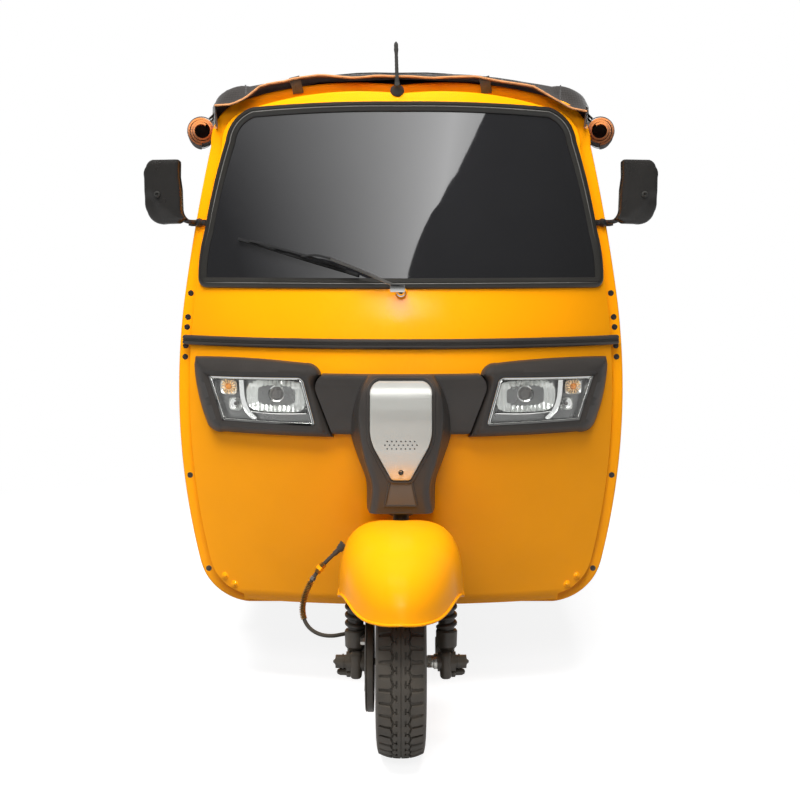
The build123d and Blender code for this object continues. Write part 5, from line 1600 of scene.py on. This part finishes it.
def louvre(place, u0, u1, v0, height):
    """A pressed louvre: flush at its top, open below, with rounded ends."""
    u, v = np.meshgrid(np.linspace(u0, u1, 22), np.linspace(v0, v0 + LOUVRE_H, 9))
    end = np.minimum(u - u0, u1 - u) / LOUVRE_H
    taper = np.sqrt(np.clip(1 - (1 - np.clip(end, 0, 1)) ** 2, 0, 1))
    rise = height * np.cos((v - v0) / LOUVRE_H * math.pi / 2) ** 0.8 * taper
    face = place(u, v, rise + 0.3)
    back = place(u, v, np.full(u.shape, -0.8))
    return np.vstack([face.reshape(-1, 3), back.reshape(-1, 3)]), thickened(grid_faces(*u.shape), u.size)


def louvre_painted_shade(place, u0, u1, v0, depth):
    """A black box in the opening under a louvre, painted shade where the body's inside would show."""
    u = np.linspace(u0 + 7, u1 - 7, 12)
    low, high = np.full(12, v0 - 1.0), np.full(12, v0 + 0.2)
    rows = [place(u, v, np.full(12, out)) for v, out in ((low, -0.5), (low, depth), (high, depth),
                                                         (high, -0.5))]
    faces = grid_faces(4, 12, True, False)
    return np.vstack(rows), faces + [(0, 12, 24, 36), (11, 47, 35, 23)]


def body_line(z, out):
    """The body's line in plan at one height, from the right side round the back to the left side."""
    half = float(np.interp(z, BODY[:, 0], BODY[:, 1]))
    rear = REAR_END_Y - float(np.interp(z, BODY[:, 0], BODY[:, 2]))
    turn = np.linspace(0, math.pi / 2, 12)
    grown = half + out
    radius = BODY_CORNER + out
    side = [(-grown, y) for y in np.linspace(DOOR_REAR_Y + 6, rear - BODY_CORNER, 20)]
    side += [(-half + BODY_CORNER - radius * math.cos(t), rear - BODY_CORNER + radius * math.sin(t))
             for t in turn[1:]]
    back = [(x, rear + out) for x in np.linspace(-half + BODY_CORNER, half - BODY_CORNER, 24)[1:-1]]
    line = np.array(side + back + [(-x, y) for x, y in side[::-1]])
    return np.column_stack([line, np.full(len(line), z)])


def rear_body():
    """Louvres, waist moulding, arch lips and fastenings on the rear panels."""
    dress("rear_body", yellow, 3.0, 3)
    dress("engine_hatch", yellow, 2.5, 3)
    hatch_parts, hatch_shade, sides, side_shade = [], [], [], []
    for k in range(4):
        for u0, u1 in ((-345, -75), (75, 345)):
            for base in (424, 684):
                v0 = base + 25 * k
                hatch_parts.append(louvre(on_rear, u0, u1, v0, 7.5))
                # a black box under each louvre: painted shade in its opening
                hatch_shade.append(louvre_painted_shade(on_rear, u0, u1, v0, 5.5))
    for k in range(6):
        v0 = 716 + 26 * k
        sides.append(louvre(on_left, 620, 800, v0, 6.5))
        side_shade.append(louvre_painted_shade(on_left, 620, 800, v0, 4.5))
    add("hatch_louvres", *joined(hatch_parts), yellow, HATCH, smooth=40)
    # black boxes under the louvres: painted shade in their openings
    add("hatch_louvre_slots", *joined(hatch_shade), rubber, HATCH)
    add("side_louvres", *both(joined(sides)), yellow, smooth=40)
    add("side_louvre_slots", *both(joined(side_shade)), rubber)
    line = body_line(900.0, 0.0)
    run = directions(line)
    out = np.stack([-run[:, 1], run[:, 0], np.zeros(len(run))], 1)
    out *= np.sign(((line - (0, 700, 900)) * out).sum(1))[:, None]
    section = [(-11, -1.5), (-11, 3), (-8, 6.5), (-4, 7.2), (-2.5, 5.6), (2.5, 5.6), (4, 7.2), (8, 6.5),
               (11, 3), (11, -1.5)]
    add("waist_moulding", *sweep(line, section, out), plastic, smooth=50)
    turn = np.radians(np.linspace(18.5, 161.5, 60))
    y, z = REAR_AXLE_Y + ARCH_R * np.cos(turn), ARCH_Z + ARCH_R * np.sin(turn)
    lip = tube(np.column_stack([body_half(y, z, 0.5), y, z]), 5.0, 10)
    add("wheel_arch_lips", *both(lip), yellow)
    side, corner = (1, 0, 0), (0.95, 0.2, 0)
    places = ((520.0, 480, side), (520.0, 640, side), (520.0, 800, side), (1090.0, 560.0, corner))
    fixings = [dome((float(body_half(y, z, 0.5)), y, z), out, 7, 4) for y, z, out in places]
    add("body_rivets", *both(joined(fixings)), zinc)
    y0 = float(body_rear(0.0, 470.0))
    cup = lathe([(-1, 27), (1.5, 27), (3, 25), (1.5, 22), (0.6, 16), (0.6, 0)], (0, y0, 470), (0, 1, 0), 36)
    handle = rounded_box((-32, y0 + 5, 464), (32, y0 + 14, 476), 4)
    stem = lathe([(0, 8), (9, 7), (10, 0)], (0, y0, 470), (0, 1, 0), 20)
    add("hatch_latch", *joined([cup, handle, stem]), chrome, HATCH)
    runs = [[(x, z) for x in np.linspace(-397, 397, 30)] for z in (395.0, 797.0)]
    runs += [[(x, z) for z in np.linspace(395, 797, 24)] for x in (-397.0, 397.0)]
    seal = [tube(np.array([(x, float(body_rear(x, z)) - 7, z) for x, z in run]), 2.4, 8) for run in runs]
    add("hatchway_seal", *joined(seal), rubber)


def rear_fittings():
    """Lamp clusters, reflectors, the blank plate's bolts and the bumper's rubbers."""
    def box_loop(x0, x1, z0, z1, r):
        k = r * (1 - math.sqrt(0.5))
        return counter_clockwise(closed([(x0 + r, z0), (x1 - r, z0), ((x1 - k, z0 + k), (x1, z0 + r)),
                                         (x1, z1 - r), ((x1 - k, z1 - k), (x1 - r, z1)), (x0 + r, z1),
                                         ((x0 + k, z1 - k), (x0, z1 - r)), (x0, z0 + r),
                                         ((x0 + k, z0 + k), (x0 + r, z0))], 6))

    case_loop = box_loop(471, 589, 791, 879, 12)
    face = REAR_END_Y - 26.0

    def case_face(x, z):
        return face - 6 + edge_rise(distance_to(case_loop, x, z), 6)

    rings = [inset(case_loop, d) for d in (2, 6)]
    case = plate(case_loop, lambda x, z: body_rear(x, z, -1.0), case_face, (), rings, 9)
    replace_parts(add("tail_lamp_cases", *both(case), plastic, slot="lamp_housing"), "tail_lamps")

    def lens(x0, x1, look, name):
        loop = box_loop(x0, x1, 798, 872, 8)

        def lens_face(x, z):
            return face + edge_rise(distance_to(loop, x, z), 9) * 1.2 + 0.5 * np.cos(x * 0.9)

        rings = [inset(loop, d) for d in (1.5, 4, 8)]
        part = plate(loop, lambda x, z: face - 2, lens_face, (), rings, 3.5)
        add(name, *both(part), look, slot="tail_lens" if look is red_lens else None, smooth=60)

    lens(478, 544, red_lens, "tail_lamp_red_lenses")
    lens(547, 582, amber, "tail_lamp_amber_lenses")
    disc = lathe([(-2, 27), (3, 27), (5, 25), (4.5, 22), (4.5, 0)],
                 (530.0, float(body_rear(530.0, 700.0)), 700.0), (0.1, 1, 0), 36)
    add("rear_reflectors", *both(disc), red_lens)
    dress("number_plate", white_plate)
    face_y = REAR_END_Y - 26 + 3.3
    bolts = [hexagon((x, face_y, 610), (0, 1, 0), 7, 5) for x in (-100, 100)]
    bolts += [lathe([(0, 10), (1.2, 10), (1.2, 0)], (x, face_y, 610), (0, 1, 0), 20) for x in (-100, 100)]
    edge = box_loop(-147, 147, 563, 657, 6)
    add("plate_bolts", *joined(bolts), zinc, HATCH)
    add("plate_border", *tube(upright(edge, face_y), 1.2, 6, wrap=True), black_paint, HATCH)
    dress("rear_bumper", black_paint, 1.0)
    caps = [lathe([(-34, 21.5), (0, 21.5), (6, 19), (11, 12), (13, 0)], (520, REAR_END_Y - 21.5, 350),
                  (1, 0, 0), 28)]
    for x in (170.0, 360.0):
        caps.append(lathe([(-18, 20.2), (-16, 21.6), (16, 21.6), (18, 20.2)], (x, REAR_END_Y - 21.8, 350),
                          (1, 0, 0), 28))
    add("bumper_rubbers", *both(joined(caps)), rubber)


rear_body()
rear_fittings()


# ---------------------------------------------------------------- floor, frame and engine
MAT_Z, MAT_PITCH = 330.2, 14.0


def ribbed_mat(x0, x1, y0, y1):
    """A rubber mat with raised ribs and a plain border."""
    x, y = np.meshgrid(np.arange(x0, x1 + 0.1, MAT_PITCH / 6),
                       [y0, y0 + 3, y0 + 18, y0 + 22, y1 - 22, y1 - 18, y1 - 3, y1])
    rib = (np.mod(x - x0, MAT_PITCH) < MAT_PITCH * 0.45) * ((y > y0 + 19) & (y < y1 - 19))
    edge = np.minimum(np.minimum(x - x0, x1 - x), np.minimum(y - y0, y1 - y))
    top = MAT_Z + 2.0 + 2.0 * np.clip(edge / 3, 0, 1) + 1.8 * rib
    layers = [np.stack([x, y, z], -1).reshape(-1, 3) for z in (top, 0 * x + MAT_Z)]
    return np.vstack(layers), thickened(grid_faces(*x.shape), x.size)


def cabin_floor():
    """Rubber mats, ridged step plates and the sills' pressed covers."""
    dress("floor_pan", floor_look, 1.5)
    dress("chassis_frame", black_paint, 2.0)
    add("driver_mat", *ribbed_mat(-440, 440, behind(545.0), behind(775.0)), mat_look, smooth=30)
    add("passenger_mat", *ribbed_mat(-500, 500, behind(1160.0), behind(1630.0)), mat_look, smooth=30)
    tread, skirts = [], []
    for first, last in ((830.0, 1120.0), (1150.0, 1560.0)):
        low, high = behind(first), behind(last)
        tread.append(rounded_box((512, low, MAT_Z), (544.5, high, 333), 1.2, 2))
        for k in range(5):
            ridge = np.array([(516.5 + 6 * k, y, 333.0) for y in np.linspace(low + 8, high - 8, 8)])
            tread.append(tube(ridge, 1.3, 6))
    low, high = behind(822.0), behind(1568.0)
    for z in (262.0, 290.0, 318.0):
        skirts.append(tube(np.array([(545.2, y, z) for y in np.linspace(low + 12, high - 12, 20)]), 2.2, 8))
    skirts.append(rounded_box((544.6, low, 251), (546.4, high, 329), 0.8, 2))
    add("step_treads", *both(joined(tread)), zinc, smooth=40)
    add("sill_covers", *both(joined(skirts)), yellow)


def engine_bay():
    """Fins, covers, bolts and pipes on the engine, and bands on its silencer."""
    dress("engine_block", cast, 5.0, 3)
    dress("silencer", steel, 1.5)
    dress("rear_arms", black_paint, 3.0)
    y, back = REAR_AXLE_Y, REAR_AXLE_Y + 190
    fins = [rounded_box((-128, back - 6, z), (60, back + 13, z + 3.4), 1.2, 1)
            for z in np.arange(384, 530, 9.5)]
    fins += [rounded_box((-196, y - 20, z), (-180, y + 150, z + 3.4), 1.2, 1)
             for z in np.arange(384, 530, 9.5)]
    add("engine_fins", *joined(fins), cast)
    covers = [lathe([(0, 92), (10, 92), (16, 86), (18, 74), (12, 70), (12, 34), (20, 28), (22, 0)],
                    (188, y + 70, 330), (1, 0, 0), 48),
              lathe([(0, 70), (12, 70), (18, 62), (19, 0)], (-188, y + 60, 300), (-1, 0, 0), 48),
              lathe([(0, 46), (8, 46), (12, 40), (13, 0)], (118, back - 2, 300), (0, 1, 0), 40)]
    add("engine_covers", *joined(covers), cast)
    bolts = []
    for centre, radius, axis, n in (((200, y + 70, 330), 81, (1, 0, 0), 9),
                                    ((-201, y + 60, 300), 63, (-1, 0, 0), 8),
                                    ((118, back + 6, 300), 41, (0, 1, 0), 6)):
        for k in range(n):
            t = 2 * math.pi * k / n
            step = (0, math.cos(t), math.sin(t)) if axis[0] else (math.cos(t), 0, math.sin(t))
            bolts.append(hexagon(np.array(centre) + radius * np.array(step), axis, 5.5, 6))
    plug = lathe([(0, 7), (16, 7), (18, 5), (46, 5), (48, 3), (50, 0)],
                 (-34, back + 2, 470), (0, 1, 0.25), 20)
    add("engine_bolts", *joined([*bolts, plug]), zinc)
    pipe = curve_through([(60, back - 2, 360), (90, back + 14, 372), (140, back + 34, 366),
                          (176, back + 52, 346), (180, back + 68, 330)], 8)
    bands = [lathe([(-6, 49), (-4, 50.6), (4, 50.6), (6, 49)], (x, y + 262, 320), (1, 0, 0), 40)
             for x in (-150, 110)]
    bands += [lathe([(0, 50), (3, 50.4), (6, 47), (6, 0)], (x, y + 262, 320), (d, 0, 0), 40)
              for x, d in ((-260, -1), (230, 1))]
    add("exhaust_pipe", *joined([tube(pipe, 13, 16), *bands]), steel)


cabin_floor()
engine_bay()


# ---------------------------------------------------------------- dashboard and controls
def dashboard():
    """Round instrument facing the driver, switches, key and bin lips."""
    dress("dashboard", plastic, 3.0, 3)
    face = behind(306.5)
    centre = (0, face, 1042)
    bezel = lathe([(-2, 31), (3, 31), (6, 29), (5, 26.5), (1.2, 26)], centre, (0, 1, 0), 48)
    add("dial_bezel", *bezel, chrome)
    add("dial_face", *lathe([(0, 26.3), (1.0, 26.3), (1.2, 0)], centre, (0, 1, 0), 48), black_paint)
    ticks = []
    for k in range(21):
        t = math.radians(225 - 13.5 * k)
        inner, outer = (18.5 if k % 5 == 0 else 21.5), 24.5
        a, b = (np.array((-r * math.cos(t), face + 1.8, 1042 + r * math.sin(t))) for r in (inner, outer))
        ticks.append(tube(np.array([a, (a + b) / 2, b]), 0.7 if k % 5 == 0 else 0.4, 5))
    add("dial_ticks", *joined(ticks), white_plate)
    pointer = np.array([(5, face + 2.6, 1036), (-8, face + 2.6, 1052), (-15, face + 2.6, 1060)])
    needle = [tube(pointer, 0.7, 6), lathe([(0, 4), (4, 3.5), (4.5, 0)], centre, (0, 1, 0), 20)]
    add("dial_needle", *joined(needle), red_lens)
    dial_glass = lathe([(4.6, 27), (5.6, 27), (6.0, 20), (6.2, 0)], centre, (0, 1, 0), 48)
    add("dial_glass", *dial_glass, clear)
    knob = [(0, 11), (3, 11), (6, 8), (14, 8), (15, 6), (15, 0)]
    knobs = [lathe(knob, (x, face, 1040), (0, 1, 0), 24) for x in (-64.0, 64.0)]
    add("dash_switches", *joined(knobs), rubber)
    add("key_lock", *lathe([(0, 11), (3, 11), (5, 9), (3.5, 6), (3.5, 0)], (64, face + 14.5, 1040),
                           (0, 1, 0), 24), chrome)
    lips = [tube([(side * x, behind(388.0), 899) for x in np.linspace(176, 424, 12)], 4.5, 10)
            for side in (1, -1)]
    add("bin_lips", *joined(lips), rubber)


def handlebar():
    """A tube bar in its clamp, ribbed grips, switch blocks and levers."""
    centre = axis_point(985)
    bend = [centre + (x, dy, dz) for x, dy, dz in ((0, 0, 0), (60, 0, 0), (112, 2, 0), (160, 50, 8),
                                                   (205, 67, 5), (262, 88, 2))]
    half = tube(curve_through(bend, 6), 11, 16)
    clamp = [rounded_box(centre + (-34, -20, 6), centre + (34, 20, 24), 5),
             *(hexagon(centre + (x, y, 24), (0, 0, 1), 6, 6) for x in (-24, 24) for y in (-12, 12)),
             lathe([(-20, 30), (-18, 31), (20, 31), (22, 28), (23, 0)], axis_point(987),
                   (0, math.sin(RAKE), math.cos(RAKE)), 32)]
    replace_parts(add("steering_bar", *joined([half, flipped(half), *clamp]), black_paint, STEERING,
                    slot="black_frame"), "handlebar")
    start, end = centre + (178, 57.7, 7), centre + (274, 92, 1.2)
    profile = [(0, 12), (0.5, 19), (3, 20), (5, 17)]
    for k in range(17):
        profile += [(6 + k * 5.2, 17.0), (7.6 + k * 5.2, 17.8), (9.2 + k * 5.2, 17.0), (10.0 + k * 5.2, 16.3)]
    length = float(np.linalg.norm(end - start))
    profile = [p for p in profile if p[0] < length - 4] + [(length - 3, 18), (length, 16), (length + 0.5, 0)]
    grip = lathe(profile, start, end - start, 28)
    block = rounded_box(centre + (128, 4, -14), centre + (164, 42, 18), 6)
    block = turned(block, 20, "Z", centre + (146, 24, 0))
    add("bar_grips", *both(joined([grip, block])), rubber, STEERING)
    lever = curve_through([centre + (146, 16, 4), centre + (168, 24, 6), centre + (200, 36, 5),
                           centre + (232, 50, 3)], 8)
    blade = [(-5, -2.2), (5, -2.2), (5.6, 0), (5, 2.2), (-5, 2.2), (-5.6, 0)]
    add("hand_levers", *both(joined([sweep(lever, blade, (0.3, -1.0, 0.0)),
                                     dome(centre + (232, 50, 3), (0.7, 0.3, 0), 5, 5)])), zinc, STEERING)


def pedal():
    """The brake pedal's ribbed rubber pad."""
    dress("brake_pedal", black_paint, 1.5)
    centre = np.array((-130.0, behind(560.0), 392.0))
    pad = [rounded_box(centre + (-34, -9, -29), centre + (34, -4.5, 29), 2)]
    pad += [rounded_box(centre + (-30, -11, z), centre + (30, -8, z + 4), 1.2, 1)
            for z in np.arange(-24, 24, 8.5)]
    add("pedal_pad", *turned(joined(pad), 30, "X", centre), rubber)


dashboard()
handlebar()
pedal()


# ---------------------------------------------------------------- seats
def box_grid(size, step, radius):
    """A box of regular quads about the origin, its edges and corners rounded."""
    half = size / 2
    bm = bmesh.new()
    for axis in range(3):
        u, v = [k for k in range(3) if k != axis]
        nu, nv = (max(3, int(round(2 * half[k] / step))) for k in (u, v))
        for side in (-1, 1):
            grid = {}
            for i in range(nu + 1):
                for j in range(nv + 1):
                    p = np.zeros(3)
                    p[axis] = side * half[axis]
                    p[u], p[v] = half[u] * (2 * i / nu - 1), half[v] * (2 * j / nv - 1)
                    grid[i, j] = bm.verts.new(p)
            for i in range(nu):
                for j in range(nv):
                    bm.faces.new((grid[i, j], grid[i + 1, j], grid[i + 1, j + 1], grid[i, j + 1]))
    bmesh.ops.remove_doubles(bm, verts=bm.verts, dist=0.01)
    bmesh.ops.recalc_face_normals(bm, faces=bm.faces)
    for v in bm.verts:
        p = np.array(v.co)
        core = np.clip(p, -half + radius, half - radius)
        away = p - core
        if np.linalg.norm(away) > radius:
            v.co = core + away / np.linalg.norm(away) * radius
    part = mesh_part(bm)
    bm.free()
    return part


def inflated(vertices, faces, limit):
    """The mesh blown up a little by Cloth with pressure, no point moving further than limit."""
    mesh = bpy.data.meshes.new("pad_probe")
    mesh.from_pydata((vertices * MM).tolist(), [], faces)
    probe = bpy.data.objects.new("pad_probe", mesh)
    scene.collection.objects.link(probe)
    cloth = probe.modifiers.new("cloth", "CLOTH")
    settings = cloth.settings
    settings.quality, settings.mass = 6, 0.3
    settings.tension_stiffness = settings.compression_stiffness = 18
    settings.shear_stiffness, settings.bending_stiffness = 6, 0.5
    settings.use_pressure, settings.uniform_pressure_force = True, 4.0
    settings.effector_weights.gravity = 0
    cloth.point_cache.frame_start, cloth.point_cache.frame_end = 1, 20
    for frame_number in range(1, 21):
        scene.frame_set(frame_number)
    graph = bpy.context.evaluated_depsgraph_get()
    moved = np.array([tuple(v.co) for v in probe.evaluated_get(graph).data.vertices]) / MM
    scene.frame_set(1)
    bpy.data.objects.remove(probe)
    bpy.data.meshes.remove(mesh)
    step = moved - vertices
    length = np.linalg.norm(step, axis=1)[:, None]
    return vertices + step * np.minimum(1, limit / np.maximum(length, 1e-6))


def cushion(name, node, centre, size, tilt, channels, face, crown):
    """A padded vinyl cushion: inflated, channelled on its face and piped round its edges.

    face is the local direction that is sat on or leant on.
    """
    size = np.asarray(size, float)
    axis = int(np.argmax(np.abs(face)))
    core = size - 20.0
    vertices, faces = box_grid(core, 18.0, 0.38 * core.min())
    vertices = inflated(vertices, faces, 13.0)
    others = [k for k in range(3) if k != axis]
    share = [np.clip(1 - (2 * vertices[:, k] / size[k]) ** 2, 0, 1) for k in others]
    on_face = np.clip(vertices[:, axis] * face[axis] / (size[axis] / 2), -1, 1)
    swell = crown * np.sqrt(share[0] * share[1]) * np.clip(on_face, 0, 1)
    pull = 5.0 * (1 - share[0]) * (1 - share[1])
    for at in channels:
        swell -= 7.0 * np.exp(-(((vertices[:, 0] - at) / 9.0) ** 2)) * np.clip(on_face, 0, 1)
    vertices[:, axis] += face[axis] * swell
    for k in others:
        vertices[:, k] -= np.sign(vertices[:, k]) * pull * 0.5
    vertices = np.clip(vertices, -size / 2 + 0.5, size / 2 - 0.5)
    made = add(name, *turned((vertices + centre, faces), tilt, "X", centre), vinyl, smooth=80,
               slot="seat_vinyl")
    divide = made.modifiers.new("smooth", "SUBSURF")
    divide.levels = divide.render_levels = 1
    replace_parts(made, node)

    piping = []
    hull = size / 2 - 9
    for level in (0.45, -0.45):
        loop = []
        for a, b, c, d in ((-1, -1, 1, -1), (1, -1, 1, 1), (1, 1, -1, 1), (-1, 1, -1, -1)):
            for t in np.linspace(0, 1, 30, endpoint=False):
                loop.append((a + (c - a) * t, b + (d - b) * t))
        loop = np.array(loop)
        corner = 0.86 + 0.14 * (1 - np.abs(loop[:, :1]) ** 8 * np.abs(loop[:, 1:]) ** 8)
        line = np.zeros((len(loop), 3))
        line[:, others[0]], line[:, others[1]] = (loop * corner * hull[others]).T
        line[:, axis] = level * size[axis] * face[axis] * 0.62
        best = []
        for p in line:
            gap = ((vertices - p) ** 2).sum(1)
            near = np.argsort(gap)[:4]
            best.append(np.average(vertices[near], axis=0, weights=1 / (gap[near] + 1)))
        best = np.array(best)
        best = (np.roll(best, 1, 0) + best * 2 + np.roll(best, -1, 0)) / 4
        away = best.copy()
        away[:, axis] = 0
        best += away / np.maximum(np.linalg.norm(away, axis=1), 1)[:, None] * 0.5
        piping.append(tube(best, 3.2, 8, wrap=True))
    lines, line_faces = joined(piping)
    add(f"{name}_piping", *turned((lines + centre, line_faces), tilt, "X", centre), piping_vinyl)


def seats():
    """Driver's and passengers' cushions and backrests, on their box and bulkhead."""
    driver_y, bulkhead = behind(770.0), behind(1640.0)
    cushion("driver_cushion", "driver_seat", np.array((0, driver_y + 160, 645.0)), (720, 320, 90), 0,
            (-180, 0, 180), (0, 0, 1), 5)
    cushion("driver_backrest", "driver_seat", np.array((0, behind(1079.0), 905.0)), (640, 55, 250), -6,
            (-160, 0, 160), AHEAD, 3)
    cushion("passenger_cushion", "passenger_seat", np.array((0, bulkhead + 180, 680.3)), (1120, 420, 119), 0,
            (-373, -187, 0, 187, 373), (0, 0, 1), 6)
    lean = math.radians(9)
    back_y = behind(2160.0) - (45 + 11 + 0.3 + 125 * math.sin(lean)) / math.cos(lean)
    cushion("passenger_backrest", "passenger_seat", np.array((0, back_y, 975.0)), (1120, 90, 470), -9,
            (-373, -187, 0, 187, 373), AHEAD, 6)
    dress("driver_seat_box", black_paint, 3.0)
    dress("seat_bulkhead", black_paint, 1.5)


seats()


# ---------------------------------------------------------------- stage and light
def ray_share(tree, glossy_share):
    """1 for what is seen straight or through glass, and a share of that in a reflection."""
    ray = tree.nodes.new("ShaderNodeLightPath").outputs
    direct = maths_node(tree, "MAXIMUM", ray["Is Camera Ray"], ray["Is Transmission Ray"])
    glossy = maths_node(tree, "MULTIPLY", ray["Is Glossy Ray"], glossy_share)
    return maths_node(tree, "MAXIMUM", direct, glossy)


def bare_material(name):
    """A new material, its tree, and the surface socket of the one node in it."""
    made = bpy.data.materials.new(name)
    made.use_nodes = True
    tree = made.node_tree
    tree.nodes.clear()
    return made, tree, tree.nodes.new("ShaderNodeOutputMaterial").inputs["Surface"]


def floor_material():
    """A pale floor that takes shadows near the object and is plain white to the eye further out."""
    made, tree, surface = bare_material("studio_floor")
    seen = ray_share(tree, FLOOR_GLOSSY)
    diffuse = tree.nodes.new("ShaderNodeBsdfDiffuse")
    diffuse.inputs["Color"].default_value = (FLOOR_WHITE, FLOOR_WHITE, FLOOR_WHITE, 1)
    lift, white = (tree.nodes.new("ShaderNodeEmission") for _ in range(2))
    tree.links.new(maths_node(tree, "MULTIPLY", seen, FLOOR_LIFT), lift.inputs["Strength"])
    near = tree.nodes.new("ShaderNodeAddShader")
    length = tree.nodes.new("ShaderNodeVectorMath")
    length.operation = "LENGTH"
    far = tree.nodes.new("ShaderNodeMapRange")
    far.interpolation_type = "SMOOTHSTEP"
    far.inputs["From Min"].default_value, far.inputs["From Max"].default_value = FLOOR_FADE
    mixed = tree.nodes.new("ShaderNodeMixShader")
    for output, socket in (
        (diffuse.outputs[0], near.inputs[0]),
        (lift.outputs[0], near.inputs[1]),
        (tree.nodes.new("ShaderNodeTexCoord").outputs["Object"], length.inputs[0]),
        (length.outputs["Value"], far.inputs["Value"]),
        (maths_node(tree, "MULTIPLY", far.outputs[0], seen), mixed.inputs[0]),
        (near.outputs[0], mixed.inputs[1]),
        (white.outputs[0], mixed.inputs[2]),
        (mixed.outputs[0], surface),
    ):
        tree.links.new(output, socket)
    return made


FLOOR_WHITE, FLOOR_LIFT, FLOOR_GLOSSY, FLOOR_FADE = 0.34, 0.86, 0.3, (1.4, 3.0)
WORLD_DIFFUSE, WORLD_GLOSSY = 0.09, 0.18


def stage_set():
    """The floor, and a world that is white to the eye and dim as a light."""
    size = 30.0
    mesh = bpy.data.meshes.new("floor")
    mesh.from_pydata([(-size, -size, 0), (size, -size, 0), (size, size, 0), (-size, size, 0)], [],
                     [(0, 1, 2, 3)])
    floor = bpy.data.objects.new("floor", mesh)
    scene.collection.objects.link(floor)
    mesh.materials.append(floor_material())

    world = bpy.data.worlds.new("studio")
    scene.world = world
    world.use_nodes = True
    tree = world.node_tree
    back = tree.nodes["Background"]
    level = maths_node(tree, "MAXIMUM", ray_share(tree, WORLD_GLOSSY), WORLD_DIFFUSE)
    tree.links.new(level, back.inputs["Strength"])
    back.inputs["Color"].default_value = (1, 1, 1, 1)


def lamp(name, place, target, size, power):
    """A rectangular lamp in metres and watts, aimed at the target and not seen in reflections."""
    light = bpy.data.lights.new(name, "AREA")
    light.shape = "RECTANGLE"
    light.size, light.size_y = size
    light.energy = power
    made = bpy.data.objects.new(name, light)
    scene.collection.objects.link(made)
    made.location = place
    made.rotation_euler = (Vector(target) - Vector(place)).to_track_quat("-Z", "Y").to_euler()
    made.visible_glossy = False


def only_for(thing, pieces):
    """Make a card light only some pieces."""
    group = bpy.data.collections.new(thing.name + "_receivers")
    for piece in pieces:
        group.objects.link(piece)
    thing.light_linking.receiver_collection = group


def card(name, rows, strength, width, brightest):
    """A glowing card that only reflections show, brightest along one upright and fading to both sides.

    rows are lists of places in metres; the glow is strength at X = brightest and falls by e in each width.
    """
    n, m = len(rows), len(rows[0])
    mesh = bpy.data.meshes.new(name)
    mesh.from_pydata(np.array(rows).reshape(-1, 3).tolist(), [], grid_faces(n, m))
    made = bpy.data.objects.new(name, mesh)
    scene.collection.objects.link(made)
    made.visible_camera = made.visible_diffuse = made.visible_shadow = made.visible_transmission = False
    look, tree, surface = bare_material(name)
    glow = tree.nodes.new("ShaderNodeEmission")
    split = tree.nodes.new("ShaderNodeSeparateXYZ")
    tree.links.new(tree.nodes.new("ShaderNodeTexCoord").outputs["Object"], split.inputs[0])
    value = split.outputs["X"]
    for step in (("SUBTRACT", brightest), ("ABSOLUTE",), ("MULTIPLY", -1 / width), ("EXPONENT",),
                 ("MULTIPLY", strength)):
        value = maths_node(tree, step[0], value, *step[1:])
    tree.links.new(value, glow.inputs["Strength"])
    tree.links.new(glow.outputs[0], surface)
    mesh.materials.append(look)
    return made


def flat_rows(middle, up, size):
    """A rectangle's corners: its middle, its upright direction, its width and height."""
    middle, up = np.array(middle, float), np.array(up, float)
    up /= np.linalg.norm(up)
    return [[middle + up * v * size[1] / 2 + (u * size[0] / 2, 0, 0) for u in np.linspace(-1, 1, 9)]
            for v in (-1, 1)]


def window_card():
    """What the windscreen mirrors: a graded card above the camera whose right edge is curved."""
    middle, up = np.array((0, -4.062, 3.634)), np.array((0, 0.596, 0.803))
    rows = []
    for v in np.linspace(-1.35, 1.25, 27):
        edge = 0.85 + 0.85 * v + 0.27 * v * v
        rows.append([middle + up * v + np.array((x, 0, 0)) for x in np.linspace(-8.0, edge, 24)])
    only_for(card("window_card", rows, 9.0, 2.3, 1.0), [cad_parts["windscreen"]])


stage_set()
window_card()
painted = [o for o in scene.objects if o.type == "MESH" and yellow.material in o.data.materials[:]]
painted.remove(bpy.data.objects["hoop_pressing"])
only_for(card("band_card", flat_rows((0, -5.6, 2.05), (0, 0.2, 1), (3.0, 0.42)), 70.0, 0.5, 0.0), painted)
only_for(card("panel_top_card", flat_rows((0, -1.7, 3.9), (0, 0.95, 0.3), (4.0, 1.0)), 2.2, 9.0, 0.0),
         [bpy.data.objects["nose_badge_panel"]])
lamp("key", (-0.5, -2.3, 3.8), (0, -0.8, 0.9), (3.0, 1.4), 230)
lamp("front", (-0.5, -4.8, 3.0), (0, -0.6, 0.9), (2.4, 1.2), 62)
lamp("left_fill", (-4.8, 1.5, 2.6), (0, 0.4, 0.8), (2.0, 2.5), 30)
lamp("right_fill", (4.8, 1.5, 2.6), (0, 0.4, 0.8), (2.0, 2.5), 30)
lamp("back", (0, 5.5, 3.0), (0, 0.5, 0.8), (3.0, 2.0), 110)
lamp("top", (0, 0.6, 5.0), (0, 0.6, 0), (3.0, 4.0), 70)
